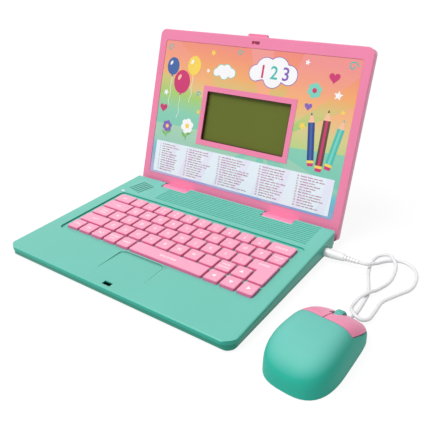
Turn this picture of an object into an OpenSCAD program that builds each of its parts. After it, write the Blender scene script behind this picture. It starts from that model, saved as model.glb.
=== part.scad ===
// Toy laptop computer with its corded mouse, built as it comes apart on a bench.
// Millimetres, +Z up. The laptop's own frame has X across, Y from the front edge to the back
// and Z up from the table; the whole set is then moved so that its box stands on the origin.

/* [Base] */
// Width of the base, side to side
base_w = 285; // [270:1:300]
// Depth of the base, front edge to rear wall
base_d = 209; // [206:0.5:215]
// Height of the base at its front edge, feet not counted
base_front_h = 10.1; // [9.8:0.1:12]
// Height of the base at its rear wall, feet not counted
base_rear_h = 19.9; // [19.6:0.1:22]
// Radius of the two front corners, seen from above
front_corner_r = 14; // [10:1:18]
// Radius of the two rear corners, seen from above
rear_corner_r = 8; // [6:1:10]
// Rounding of the deck's edges
deck_edge_r = 2.4; // [2.2:0.1:3]
// Wall of the two base covers
base_wall = 2.2; // [2:0.1:2.4]
// Height of the lower cover, underside to the seam
lower_h = 6.1; // [5.5:0.1:6.5]
// How far the upper cover overhangs the lower one
seam_step = 0.7; // [0.4:0.1:0.9]
// Height of the rubber feet below the underside
foot_h = 1.7; // [1.2:0.1:2.2]
// Diameter of the rubber feet
foot_d = 12; // [10:0.5:14]

/* [Keyboard] */
// Bare deck left beside the block of keys, both sides together
keys_side = 40.6; // [38:0.2:46]
// Pitch of the key rows, front to back
key_pitch_y = 18.6; // [18:0.1:18.8]
// Space between two key caps
key_space = 2.6; // [2.4:0.1:3]
// Height of the key caps above the deck
key_rise = 1.5; // [1:0.1:1.6]
// Depth of the keyboard's sunken tray below the deck
tray_depth = 1.8; // [1.2:0.1:2]
// Plate under the sunken tray, which the key caps pass through
tray_plate = 1.6; // [1.2:0.1:1.8]
// Border of the sunken tray around the block of keys
tray_border = 5.5; // [4:0.5:6]
// Clearance around each key cap in its hole
key_clear = 0.4; // [0.3:0.05:0.5]
// Travel of a key
key_travel = 1.4; // [1:0.1:1.6]
// How far the block of keys sits right of the middle
keys_shift = 3; // [0:0.5:4]
// Rear edge of the block of keys, in front of the rear wall
keys_rear = 56; // [54:0.5:60]

/* [Lid] */
// How much narrower the lid is than the base
lid_side_step = 1; // [0.6:0.1:2]
// How far the closed lid's top edge passes the front edge of the base
lid_overhang = 0.2; // [0:0.1:1]
// How far the lid hangs below the hinge axis, along the lid
lid_drop = 6.4; // [5:0.1:6.6]
// Thickness of the whole lid
lid_t = 13.6; // [12.6:0.1:15]
// Depth of the lid's front frame, face to seam
frame_depth = 5; // [4.6:0.1:5.6]
// Wall of the two lid shells
lid_wall = 2; // [1.8:0.1:2.2]
// Radius of the lid's upper corners
lid_corner_r = 9; // [7:0.5:12]
// Radius of the lid's lower corners
lid_low_corner_r = 6; // [5:0.5:8]
// Rounding of the lid's back edges
lid_back_r = 5; // [3:0.5:6]
// Angle between the open lid and the table in front of it
lid_angle = 106; // [96:1:107]
// Bare frame beside the printed panel, both sides together
panel_side = 20; // [18:0.5:28]
// Bare frame above the printed panel
panel_above = 13.2; // [12.8:0.2:18]
// Bottom edge of the panel's pocket above the hinge axis
panel_low = 16.6; // [16:0.2:17]
// Depth of the panel's pocket below the frame's face
pocket_depth = 1; // [0.8:0.1:1.2]
// Thickness of the printed panel
panel_t = 0.5; // [0.4:0.1:0.6]
// Width of the display opening
lcd_w = 116; // [110:1:120]
// Height of the display opening
lcd_h = 60.6; // [56:0.2:62]
// Centre of the display, right of the middle of the lid
lcd_x = 1.8; // [0:0.1:3]
// Centre of the display above the hinge axis
lcd_v = 103.2; // [98:0.1:106]
// Width of the bare margin around the display opening
lcd_margin = 6.4; // [5:0.1:7]
// Depth of the display glass below the frame's face
lcd_depth = 4.4; // [4:0.1:4.6]

/* [Hinge] */
// Distance of the hinge axis in front of the rear wall
hinge_inset = 6; // [5.6:0.1:6.4]
// Distance from the hinge axis to the lid's face
face_offset = 9.6; // [9.4:0.1:10.2]
// Gap between the closed lid's face and the deck
closed_gap = 2.2; // [2:0.1:2.4]
// Radius of the hinge knuckles
knuckle_r = 7.2; // [6.6:0.1:7.3]
// Width of a hinge knuckle
knuckle_w = 39; // [36:0.5:40]
// Middle of each hinge knuckle, from the middle of the base
knuckle_x = 74; // [72:1:76]
// Clearance between a knuckle and its notch
notch_clear = 0.5; // [0.4:0.05:0.8]
// Diameter of the hinge pins
pin_d = 4; // [3:0.5:5]
// Radial running clearance of the pins and axles
run_clear = 0.05; // [0.03:0.01:0.08]

/* [Latch] */
// Width of the latch slot in the palm rest
catch_w = 9.8; // [9.4:0.1:11]
// Depth of the latch slot in the palm rest, front to back
catch_d = 5; // [4.6:0.1:5.2]
// Width of the latch tab on the lid's top edge
tab_w = 26; // [22:1:30]
// Height of the latch tab above the lid's top edge
tab_h = 3.4; // [2.5:0.1:4]
// Sideways travel of the latch
latch_travel = 2; // [1.5:0.1:2.4]
// Travel of the latch hook out of the lid
hook_travel = 5.4; // [5:0.1:5.6]

/* [Mouse] */
// Length of the mouse
mouse_l = 98; // [94:1:104]
// Width of the mouse
mouse_w = 57; // [55:0.5:62]
// Height of the mouse above its glide feet
mouse_h = 34.5; // [33:0.5:36]
// Wall of the mouse's shells
mouse_wall = 2; // [1.8:0.1:2.2]
// Height of the mouse's seam above the table
mouse_seam = 8.2; // [8:0.1:8.6]
// Thickness of the mouse's glide feet
glide_h = 0.8; // [0.6:0.1:1]
// Diameter of the scroll wheel
wheel_d = 20; // [18:0.5:21]
// Width of the scroll wheel
wheel_w = 6.4; // [5.5:0.1:7]

/* [Cord and plug] */
// Diameter of the mouse cord
cord_d = 3.4; // [2.8:0.1:3.8]
// Diameter of the plug's grip
plug_d = 9.6; // [8.8:0.1:10]
// Length of the plug's grip
plug_l = 24.3; // [22:0.1:26]
// Diameter of the plug's metal pin
jack_d = 3.5; // [2.5:0.5:3.5]
// Height of the socket above the table
socket_z = 9.2; // [9:0.1:9.6]
// Distance of the socket in front of the rear wall
socket_rear = 29; // [27:0.5:31]

/* [Hidden] */

$fn = 48;

// Colours of the mouldings
mint = [0.47, 0.78, 0.72];
pink = [0.94, 0.54, 0.69];
key_pink = [0.98, 0.70, 0.80];
steel = [0.75, 0.76, 0.78];
rubber = [0.25, 0.26, 0.27];
board_green = [0.10, 0.38, 0.22];
white = [0.94, 0.94, 0.94];

// Small assembly gap between pieces that seat on each other without touching
seat = 0.3;
// Overlap used only to make cuts pass cleanly through a face
cut = 1;

// ---- Base: the deck is a plane that rises to the back ----
deck_rise = base_rear_h - base_front_h;
deck_slope = atan(deck_rise / base_d);
deck_front_z = foot_h + base_front_h;
seam_z = foot_h + lower_h;
floor_z = foot_h + base_wall;
function deck_z(y) = deck_front_z + deck_rise * y / base_d;

// ---- Keyboard, measured in key units of one pitch ----
block_units = 13;
block_rows = 5;
key_pitch_x = (base_w - keys_side) / block_units;
keys_front = base_d - keys_rear - block_rows * key_pitch_y;
keys_left = keys_shift - block_units / 2 * key_pitch_x;
block_w = block_units * key_pitch_x;
block_h = block_rows * key_pitch_y;
cap_corner_r = 1.8;
flange = 0.5;
flange_t = 1;
key_wall = 1.3;
stem_d = 4.4;
tray_under = -tray_depth - tray_plate;
flange_top = tray_under - seat;
key_low = flange_top - flange_t;
collar_h = 1.6;
collar_d = 9;
membrane_t = 0.8;
membrane_top = key_low - seat - collar_h;
key_board_t = 1.2;
mat_border = 3;
// Widths of the wide keys
escape_u = 1.4;
delete_u = block_units - 10 - escape_u;
tab_u = 2;
caps_u = 1.4;
shift_u = 2;
enter_up_u = block_units - 10 - caps_u;
enter_low_u = 1;
space_u = 5;

// ---- Hinge ----
hinge_y = base_d - hinge_inset;
hinge_z = deck_z(hinge_y) + closed_gap - face_offset / cos(deck_slope);
lid_tilt = 180 - lid_angle;
lid_w = base_w - lid_side_step;
lid_top = hinge_y / cos(deck_slope) + lid_overhang;
bore_d = pin_d + 2 * run_clear;
notch_w = knuckle_w + 2 * notch_clear;
cheek = 4;
pocket_wall = 1.8;
notch_front = hinge_y - knuckle_r - notch_clear;
notch_low = hinge_z - knuckle_r - notch_clear;

// ---- Lid, in its own frame: X across, Y up the lid from the hinge, Z out of the face ----
panel_x = 0.5;
panel_w = lid_w - panel_side;
panel_h = lid_top - panel_low - panel_above;
panel_corner_r = 3;
lid_plate = 2.4;
lid_boss_d = 6;
lid_screw_z = -7.6;
catch_y = 6.8;
catch_x = -0.3;
latch_v = (hinge_y - catch_y) / cos(deck_slope);

// ---- Screws ----
screw_d = 2.6;
screw_head_d = 4.8;
screw_head_h = 1.6;
screw_clear = 0.1;
base_boss_d = 6.4;
front_boss_y = 10;
mid_boss_y = base_d / 2 + 1.5;
rear_boss_y = base_d - 8;
side_boss_x = base_w / 2 - 8.6;
rear_boss_x = knuckle_x - notch_w / 2 - cheek - base_boss_d / 2 - 2.6;
base_bosses = [
  [-side_boss_x, front_boss_y], [side_boss_x, front_boss_y],
  [-side_boss_x, mid_boss_y], [side_boss_x, mid_boss_y],
  [-rear_boss_x, rear_boss_y], [rear_boss_x, rear_boss_y]];
lid_boss_x = lid_w / 2 - lid_wall - 4.6;
lid_bosses = [
  for (sx = [-1, 1]) for (v = [2, lid_top / 2, lid_top - 9]) [sx * lid_boss_x, v]];

// ---- Batteries: three small cells side by side ----
cell_d = 10.4;
cell_l = 44;
cell_pitch = 11;
cell_count = 3;
bay_wall = 1.4;
bay_x = -6;
bay_w = cell_l + 6;
bay_y = base_d - 50;
bay_d = cell_pitch * cell_count + 1;
door_t = 1.5;
door_lip = 2.4;
door_clear = 0.25;
cell_z = foot_h + door_t + seat + cell_d / 2;

// ---- Speaker ----
speaker_d = 27;
speaker_x = -base_w / 2 + 29.5;
speaker_y = base_d - 31;
speaker_t = 6;

// ---- Boards ----
board_t = 1.6;
main_board_w = 72;
main_board_d = 29;
main_board_y = base_d - 48.5;
main_board_z = floor_z + 1.8;
socket_y = base_d - socket_rear;
socket_l = 13;
socket_w = 8;
socket_face = base_w / 2 - base_wall - seam_step - seat;

// ---- Mouse ----
mouse_x = base_w / 2 + 54.6;
mouse_y = base_d - 169.6;
mouse_turn = -5.7;
mouse_peak = 0.04;
mouse_taper = 0.14;
mouse_rim_h = 8.9;
mouse_nose_h = 10.7;
button_edge = 5.9;
button_arc_r = 162;
button_gap = 0.5;
button_dip = 2;
button_hinge_y = button_edge - 1;
button_hinge_z = 24;
button_split = 0.8;
// Lower edge of the buttons along the side of the mouse: high at the hinge, low at the nose
skirt_rear_z = 27.5;
skirt_nose_z = mouse_seam;
skirt_nose_y = mouse_l / 2 - 4.6;
wheel_y = mouse_l / 2 - 15;
wheel_z = 13.7;
wheel_room = 1.2;
axle_d = 3;
axle_l = 16;
post_t = 2.4;
post_d = 5;
mouse_board_z = glide_h + mouse_wall + 1.4;
grommet_y = mouse_l / 2 - 6.2;
grommet_z = 4.6;
grommet_d = 5;
grommet_flange = 6.2;
grommet_l = 9.6;

// ---- Plug: it lies level, along X, out of the right side of the base ----
plug_face = socket_face + seat;
relief_l = 15;
relief_d = 6.4;
relief_rings = 4;
pin_l = 12;

// ---- Whole set: its box, without the cord, stands centred on the origin ----
mouse_reach_x = norm([mouse_w / 2 * cos(mouse_turn), mouse_l / 2 * sin(mouse_turn)]);
mouse_reach_y = norm([mouse_l / 2 * cos(mouse_turn), mouse_w / 2 * sin(mouse_turn)]);
lid_reach = (lid_top - lid_back_r) * cos(lid_tilt)
  + (face_offset + lid_t - lid_back_r) * sin(lid_tilt) + lid_back_r;
set_x = (mouse_x + mouse_reach_x - base_w / 2) / 2;
set_y = (mouse_y - mouse_reach_y + hinge_y + lid_reach) / 2;

module set_on_origin() translate([-set_x, -set_y, 0]) children();
// On the sloping deck: X across, Y back along the slope, Z square to the deck
module on_deck() translate([0, 0, deck_front_z]) rotate([deck_slope, 0, 0]) children();
// On the lid: X across, Y up the lid from the hinge axis, Z out of the lid's face
module on_lid()
  translate([0, hinge_y, hinge_z]) rotate([lid_tilt, 0, 0]) translate([0, 0, -face_offset])
    children();
module on_mouse() translate([mouse_x, mouse_y, 0]) rotate([0, 0, mouse_turn]) children();

// Rectangle with one radius at its low-Y corners and another at its high-Y corners
module round_rect(x0, x1, y0, y1, r0, r1) {
  translate([x0 + r0, y0]) square([x1 - x0 - 2 * r0, y1 - y0 - r1]);
  translate([x0 + r1, y0 + r0]) square([x1 - x0 - 2 * r1, y1 - y0 - r0]);
  translate([x0, y0 + r0]) square([x1 - x0, y1 - y0 - r0 - r1]);
  for (x = [x0 + r0, x1 - r0]) translate([x, y0 + r0]) circle(r0);
  for (x = [x0 + r1, x1 - r1]) translate([x, y1 - r1]) circle(r1);
}
module round_slab(w, d, h, r) linear_extrude(h) round_rect(-w / 2, w / 2, -d / 2, d / 2, r, r);

// Flat outline with two round ends
module capsule(length, width) {
  square([length - width, width], center = true);
  for (side = [-1, 1]) translate([side * (length - width) / 2, 0]) circle(width / 2);
}

// Slab extruded along X from a profile drawn in Y and Z
module along_x(w) translate([-w / 2, 0, 0]) rotate([90, 0, 90]) linear_extrude(w) children();

// ---- Base covers ----
module base_plan(inset)
  round_rect(-base_w / 2 + inset, base_w / 2 - inset, inset, base_d - inset,
    front_corner_r - inset, rear_corner_r - inset);

// Side profile of the wedge, with its two upper edges rounded
module wedge_profile() {
  r = deck_edge_r;
  drop = r / cos(deck_slope);
  zf = deck_z(r) - drop;
  zr = deck_z(base_d - r) - drop;
  tangent = [-r * sin(deck_slope), r * cos(deck_slope)];
  polygon([[0, seam_z], [base_d, seam_z], [base_d, zr], [base_d - r, zr] + tangent,
    [r, zf] + tangent, [0, zf]]);
  translate([r, zf]) circle(r);
  translate([base_d - r, zr]) circle(r);
}

// Solid form of the upper cover, from the seam to the deck
module base_form() intersection() {
  translate([0, 0, seam_z]) linear_extrude(base_rear_h) base_plan(0);
  along_x(base_w) wedge_profile();
  on_deck() translate([0, base_d + 20, 0]) rotate([90, 0, 0]) linear_extrude(base_d + 40)
    round_rect(-base_w / 2, base_w / 2, -base_rear_h - 9, 0, deck_edge_r, deck_edge_r);
}

// Space inside the base, from a height up to the underside of the deck
module base_cavity(inset, low) intersection() {
  translate([0, 0, low]) linear_extrude(base_rear_h + 9) base_plan(inset);
  along_x(base_w) polygon([[inset, low - cut], [base_d - inset, low - cut],
    [base_d - inset, deck_z(base_d - inset) - inset / cos(deck_slope)],
    [inset, deck_z(inset) - inset / cos(deck_slope)]]);
}

// A box in the laptop's frame, given by its two corners
module box(a, b) translate(a) cube(b - a);

module hinge_notches()
  for (side = [-1, 1]) translate([side * knuckle_x, 0, 0])
    box([-notch_w / 2, notch_front, notch_low], [notch_w / 2, base_d + cut, base_rear_h + 9]);

module hinge_blocks(gap)
  for (side = [-1, 1]) translate([side * knuckle_x, 0, 0])
    box([-notch_w / 2 - cheek - gap, notch_front - pocket_wall - gap,
      notch_low - pocket_wall - gap], [notch_w / 2 + cheek + gap, base_d, base_rear_h + 9]);

module hinge_pin_bores()
  for (side = [-1, 1]) translate([side * knuckle_x, hinge_y, hinge_z]) rotate([0, 90, 0])
    cylinder(d = pin_d + 2 * 0.02, h = notch_w + 2 * cheek + cut, center = true);

module socket_hole()
  translate([base_w / 2 - base_wall - cut, socket_y, socket_z]) rotate([0, 90, 0])
    cylinder(d = plug_d + 2.2, h = base_wall + 2 * cut);

// Every key: [left edge in units, row from the front, width in units]
function row_keys(row, first, count) = [for (i = [0 : count - 1]) [first + i, row, 1]];
number_row = row_keys(4, escape_u, 10);
upper_row = row_keys(3, tab_u, 11);
middle_row = row_keys(2, caps_u, 10);
lower_row = row_keys(1, shift_u, 9);
front_row = row_keys(0, 0, 5);
escape_key = [0, 4, escape_u];
delete_key = [block_units - delete_u, 4, delete_u];
tab_key = [0, 3, tab_u];
caps_key = [0, 2, caps_u];
shift_key = [0, 1, shift_u];
up_key = [shift_u + 9, 1, 1];
space_key = [5, 0, space_u];
left_key = [5 + space_u, 0, 1];
down_key = [6 + space_u, 0, 1];
right_key = [7 + space_u, 0, 1];
plain_keys = concat(number_row, upper_row, middle_row, lower_row, front_row,
  [escape_key, delete_key, tab_key, caps_key, shift_key, up_key, space_key,
    left_key, down_key, right_key]);

function key_mid(k) = [
  keys_left + (k[0] + k[2] / 2) * key_pitch_x, keys_front + (k[1] + 0.5) * key_pitch_y];
enter_mid = [keys_left + block_w - enter_low_u / 2 * key_pitch_x, keys_front + 2 * key_pitch_y];

// Outline of one key; grow widens it on every side
module key_outline(k, grow) {
  w = k[2] * key_pitch_x - key_space + 2 * grow;
  d = key_pitch_y - key_space + 2 * grow;
  translate(key_mid(k)) round_rect(-w / 2, w / 2, -d / 2, d / 2, cap_corner_r, cap_corner_r);
}
// The enter key is an L over two rows, wider at the back
module enter_outline(grow) {
  x1 = keys_left + block_w - key_space / 2 + grow;
  x_low = keys_left + (block_units - enter_low_u) * key_pitch_x + key_space / 2 - grow;
  x_up = keys_left + (block_units - enter_up_u) * key_pitch_x + key_space / 2 - grow;
  y0 = keys_front + key_pitch_y + key_space / 2 - grow;
  y_step = keys_front + 2 * key_pitch_y + key_space / 2 - grow;
  y1 = keys_front + 3 * key_pitch_y - key_space / 2 + grow;
  r = cap_corner_r;
  round_rect(x_low, x1, y0, y1, r, r);
  round_rect(x_up, x1, y_step, y1, r, r);
}

module tray_outline(grow)
  round_rect(keys_left - tray_border - grow, keys_left + block_w + tray_border + grow,
    keys_front - tray_border - grow, keys_front + block_h + tray_border + grow, 6, 6);

module key_holes() {
  for (k = plain_keys) key_outline(k, key_clear);
  enter_outline(key_clear);
}

// Frame of ribs under the tray that the membrane and its board are clamped against
module mat_rib() {
  inner = 0.8;
  outer = 2.2;
  x0 = keys_left;
  x1 = keys_left + block_w;
  y0 = keys_front;
  y1 = keys_front + block_h;
  difference() {
    round_rect(x0 - outer, x1 + outer, y0 - outer, y1 + outer, 2, 2);
    round_rect(x0 - inner, x1 + inner, y0 - inner, y1 + inner, 1, 1);
  }
}

// Shallow touch area in the palm rest: flush at its front, deepest at its rear edge
pad_w = 57;
pad_y = 17;
pad_d = keys_front - pad_y - 3;
pad_depth = 0.9;
module touch_area() on_deck() intersection() {
  translate([0, 0, -2]) linear_extrude(5)
    round_rect(-pad_w / 2, pad_w / 2, pad_y, pad_y + pad_d, 6, 6);
  translate([0, pad_y, 0]) rotate([-atan(pad_depth / pad_d), 0, 0]) translate([-pad_w, 0, 0])
    cube([2 * pad_w, 2 * pad_d, 5]);
}

// Slanted sound slots over the speaker
slot_count = 5;
slot_l = 25;
slot_w = 1.5;
slot_pitch = 4.6;
slot_slant = 14;
module sound_slots() on_deck()
  for (i = [0 : slot_count - 1])
    translate([speaker_x + (i - (slot_count - 1) / 2) * slot_pitch,
      speaker_y + 5 - 1.2 * i, -base_wall - cut])
      rotate([0, 0, 90 - slot_slant]) linear_extrude(base_wall + 2 * cut)
        capsule(slot_l, slot_w);

// Fine ribs across the rear of the deck, between the keyboard and the hinge
rib_count = 11;
rib_pitch = 3.7;
rib_groove = 1.5;
rib_depth = 0.6;
rib_left = -base_w / 2 + 64.5;
rib_right = base_w / 2 - 16.5;
module deck_grooves() on_deck()
  for (i = [0 : rib_count - 1])
    translate([(rib_left + rib_right) / 2, base_d - 5.5 - i * rib_pitch, -rib_depth])
      linear_extrude(rib_depth + cut) capsule(rib_right - rib_left, rib_groove);

led_x = -base_w / 2 + 15.5;
led_y = base_d - 48;
led_flange = 0.25;
led_w = 5.4;
led_d = 2.8;
module led_outline(grow) translate([led_x, led_y]) capsule(led_w + 2 * grow, led_d + 2 * grow);

// Slot that the latch hook drops into, with the deck thinned around it for the barb
catch_lip = 1.4;
catch_thin = 2.4;
module catch_slot() {
  box([catch_x - catch_w / 2, catch_y - catch_d / 2, floor_z],
    [catch_x + catch_w / 2, catch_y + catch_d / 2, base_rear_h]);
  on_deck() translate([catch_x - catch_w / 2 - catch_thin, catch_y - catch_d / 2 - 1,
    -base_wall - cut]) cube([catch_w + 2 * catch_thin, catch_d + 2, base_wall + cut - catch_lip]);
}

module base_boss_posts(d, z0)
  for (b = base_bosses) translate([b[0], b[1], z0]) cylinder(d = d, h = base_rear_h + 9);

module base_top_cover() set_on_origin() color(mint) {
  difference() {
    union() {
      difference() {
        base_form();
        base_cavity(base_wall, seam_z - cut);
        on_deck() translate([0, 0, tray_under - cut]) linear_extrude(10) tray_outline(0);
      }
      on_deck() translate([0, 0, tray_under]) linear_extrude(tray_plate) tray_outline(0);
      on_deck() translate([0, 0, tray_under]) linear_extrude(tray_plate + tray_depth - 0.3)
        difference() {
          tray_outline(base_wall);
          tray_outline(0);
        }
      on_deck() translate([0, 0, membrane_top]) linear_extrude(tray_under - membrane_top)
        mat_rib();
      intersection() {
        union() {
          hinge_blocks(0);
          base_boss_posts(base_boss_d, floor_z + 2.4);
          translate([speaker_x, speaker_y, deck_z(speaker_y) - base_wall - speaker_t])
            difference() {
              cylinder(d = speaker_d + 3, h = speaker_t + 6);
              translate([0, 0, -cut]) cylinder(d = speaker_d + 0.4, h = speaker_t + 6 + 2 * cut);
            }
        }
        base_cavity(base_wall - 0.2, foot_h);
      }
    }
    on_deck() translate([0, 0, tray_under - cut]) linear_extrude(tray_plate + 2 * cut)
      key_holes();
    hinge_notches();
    hinge_pin_bores();
    socket_hole();
    touch_area();
    sound_slots();
    deck_grooves();
    catch_slot();
    on_deck() translate([0, 0, -base_wall - cut]) linear_extrude(base_wall + 2 * cut)
      led_outline(0.15);
    for (b = base_bosses) translate([b[0], b[1], floor_z])
      cylinder(d = screw_d + screw_clear, h = deck_z(b[1]) - base_wall - floor_z);
  }
}

// Lower cover: a shallow tray with a rounded underside edge
module lower_form(inset) {
  r = max(2.6 - inset, 0.4);
  intersection() {
    translate([0, 0, foot_h + inset]) linear_extrude(lower_h) base_plan(seam_step + inset);
    along_x(base_w)
      round_rect(seam_step + inset, base_d - seam_step - inset, foot_h + inset, 40, r, r);
    translate([0, base_d + 20, 0]) rotate([90, 0, 0]) linear_extrude(base_d + 40)
      round_rect(-base_w / 2 + seam_step + inset, base_w / 2 - seam_step - inset,
        foot_h + inset, 40, r, r);
  }
}

module feet_places()
  for (side = [-1, 1]) for (y = [17, base_d - 23])
    translate([side * (base_w / 2 - 24.5), y, 0]) children();

module door_outline(grow)
  round_rect(bay_x - bay_w / 2 - door_lip - grow, bay_x + bay_w / 2 + door_lip + grow,
    bay_y - door_lip - grow, bay_y + bay_d + door_lip + 5 + grow, 3, 3);
door_screw = [bay_x, bay_y + bay_d + door_lip + 1.4];

module base_bottom_cover() set_on_origin() color(mint) {
  difference() {
    union() {
      difference() {
        lower_form(0);
        lower_form(base_wall);
        translate([-base_w, -cut, seam_z]) cube([2 * base_w, 2 * base_d, 60]);
        hinge_blocks(seat);
      }
      intersection() {
        for (b = base_bosses) translate([b[0], b[1], foot_h])
          cylinder(d = base_boss_d + 1.2, h = floor_z + 2.4 - foot_h);
        lower_form(0.2);
      }
      // walls and roof of the battery bay
      box([bay_x - bay_w / 2 - bay_wall, bay_y - bay_wall, foot_h],
        [bay_x + bay_w / 2 + bay_wall, bay_y + bay_d + bay_wall,
          cell_z + cell_d / 2 + seat + bay_wall]);
      translate([door_screw[0], door_screw[1], foot_h]) cylinder(d = 7, h = 7);
      // stand-offs of the main circuit board
      for (x = [0, 1]) for (y = [0, 1])
        translate([socket_face - main_board_w + 4 + x * (main_board_w - 8),
          main_board_y + 3 + y * (main_board_d - 6), foot_h + 0.5])
          cylinder(d = 5, h = main_board_z - foot_h - 0.5);
      // two long ribs that press the key board up against the tray
      for (x = [-0.5, 0.5])
        along_rib(keys_shift + x * (block_w - 30));
    }
    box([bay_x - bay_w / 2, bay_y, foot_h - cut],
      [bay_x + bay_w / 2, bay_y + bay_d, cell_z + cell_d / 2 + seat]);
    translate([0, 0, foot_h - cut]) linear_extrude(cut + door_t + 0.1) door_outline(door_clear);
    translate([door_screw[0], door_screw[1], foot_h - cut])
      cylinder(d = screw_d + screw_clear, h = 7);
    for (b = base_bosses) {
      translate([b[0], b[1], 0]) cylinder(d = screw_d + 2 * screw_clear, h = seam_z + 4);
      translate([b[0], b[1], 0]) cylinder(d = screw_head_d + 0.4, h = foot_h + screw_head_h + 0.4);
    }
    feet_places() translate([0, 0, foot_h - cut]) cylinder(d = foot_d + 0.2, h = cut + 0.6);
    socket_hole();
  }
}

// A rib that follows the slope of the deck under the key board
module along_rib(x) {
  low = membrane_top - membrane_t - key_board_t - seat;
  y0 = keys_front + 8;
  y1 = keys_front + block_h - 8;
  translate([x, 0, 0]) along_x(1.6)
    polygon([[y0, foot_h + 0.5], [y1, foot_h + 0.5], [y1, deck_z(y1) + low - 0.3],
      [y0, deck_z(y0) + low - 0.3]]);
}

module battery_door() set_on_origin() color(mint) difference() {
  translate([0, 0, foot_h]) linear_extrude(door_t) door_outline(0);
  translate([door_screw[0], door_screw[1], 0]) cylinder(d = screw_d + 2 * screw_clear, h = 9);
  for (i = [0 : 3]) translate([bay_x, bay_y + 4 + i * 2.4, foot_h - cut])
    translate([-9, 0, 0]) cube([18, 1.2, cut + 0.5]);
}

module cell_places()
  for (i = [0 : cell_count - 1])
    translate([bay_x, bay_y + 0.5 + (i + 0.5) * cell_pitch, cell_z])
      rotate([0, i % 2 == 0 ? 90 : -90, 0]) children();

module battery_cells() set_on_origin() color("gainsboro") cell_places()
  rotate_extrude() polygon([[0, -cell_l / 2 + 0.4], [cell_d / 2 - 0.6, -cell_l / 2 + 0.4],
    [cell_d / 2, -cell_l / 2 + 1], [cell_d / 2, cell_l / 2 - 1.6], [cell_d / 2 - 0.6, cell_l / 2 - 1],
    [1.9, cell_l / 2 - 1], [1.9, cell_l / 2], [0, cell_l / 2]]);

module battery_contacts() set_on_origin() color(steel)
  for (side = [-1, 1]) translate([bay_x + side * (bay_w / 2 - 0.45), 0, 0])
    for (i = [0 : cell_count - 1]) translate([0, bay_y + 0.5 + (i + 0.5) * cell_pitch, cell_z]) {
      cube([0.5, 8, 8], center = true);
      translate([-side * 1.2, 0, 0]) rotate([0, 90, 0]) cylinder(d = 3.2, h = 2, center = true);
    }

// A pan-head screw that points up: its head is below z = 0
module screw(length) {
  translate([0, 0, -screw_head_h]) cylinder(d = screw_head_d, h = screw_head_h);
  cylinder(d = screw_d, h = length);
}
base_screw_z = foot_h + screw_head_h + 0.4;
module base_screws() set_on_origin() color(steel) {
  for (b = base_bosses) translate([b[0], b[1], base_screw_z]) difference() {
    screw(min(deck_z(b[1]) - base_wall - base_screw_z - 0.6, 9));
    translate([0, 0, -screw_head_h]) cube([3.2, 0.7, 1.2], center = true);
    translate([0, 0, -screw_head_h]) cube([0.7, 3.2, 1.2], center = true);
  }
  translate([door_screw[0], door_screw[1], foot_h]) screw(5.5);
}

module rubber_feet() set_on_origin() color(rubber) feet_places() rotate_extrude()
  polygon([[0, 0], [foot_d / 2 - 0.8, 0], [foot_d / 2, 0.8], [foot_d / 2, foot_h + 0.6],
    [0, foot_h + 0.6]]);

module main_circuit_board() set_on_origin() color(board_green)
  translate([socket_face - main_board_w, main_board_y, main_board_z]) {
    cube([main_board_w, main_board_d, board_t]);
    translate([12, 6, board_t]) cube([16, 16, 2]);
    translate([36, 10, board_t]) cube([9, 6, 1.6]);
    for (x = [6, 50]) translate([x, 24, board_t]) cylinder(d = 4, h = 5);
    translate([32, 20, board_t]) cube([14, 5, 4]);
  }

module mouse_socket() set_on_origin() color("#303236")
  difference() {
    box([socket_face - socket_l, socket_y - socket_w / 2, main_board_z + board_t],
      [socket_face, socket_y + socket_w / 2, socket_z + 3.2]);
    translate([socket_face - socket_l - cut, socket_y, socket_z]) rotate([0, 90, 0])
      cylinder(d = jack_d + 2 * run_clear, h = socket_l + 2 * cut);
  }

module speaker() set_on_origin() color("#2b2c2f")
  translate([speaker_x, speaker_y, deck_z(speaker_y) - base_wall - speaker_t - 0.9])
    rotate_extrude() polygon([[0, 0], [8, 0], [8, 2.4], [12.6, 2.4], [speaker_d / 2, 4.6],
      [speaker_d / 2, speaker_t], [speaker_d / 2 - 1.2, speaker_t], [4, 4.2], [0, 4.6]]);

module power_led() set_on_origin() color("white") on_deck() {
  translate([0, 0, -base_wall - 1.4]) linear_extrude(base_wall + 1.7) led_outline(0);
  translate([0, 0, -base_wall - 1.9]) linear_extrude(1.6) led_outline(led_flange);
}

module mat_outline()
  round_rect(keys_left - mat_border, keys_left + block_w + mat_border,
    keys_front - mat_border, keys_front + block_h + mat_border, 2, 2);

module key_membrane() set_on_origin() color("lightgray") on_deck() {
  translate([0, 0, membrane_top - membrane_t]) linear_extrude(membrane_t) mat_outline();
  for (k = plain_keys) translate(key_mid(k)) collar();
  translate(enter_mid) collar();
}
// Springy collar that a key's stem sinks into
module collar() translate([0, 0, membrane_top - 0.1]) rotate_extrude($fn = 24)
  polygon([[stem_d / 2 + 0.8, 0], [collar_d / 2, 0], [collar_d / 2 - 0.8, collar_h + 0.1],
    [stem_d / 2 + 0.8, collar_h + 0.1]]);

module key_circuit_board() set_on_origin() color(board_green) on_deck()
  translate([0, 0, membrane_top - membrane_t - key_board_t]) linear_extrude(key_board_t)
    mat_outline();

module hinge_pins() set_on_origin() color(steel)
  for (side = [-1, 1]) translate([side * knuckle_x, hinge_y, hinge_z]) rotate([0, 90, 0])
    cylinder(d = pin_d, h = notch_w + 2 * cheek - 0.6, center = true);

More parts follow.
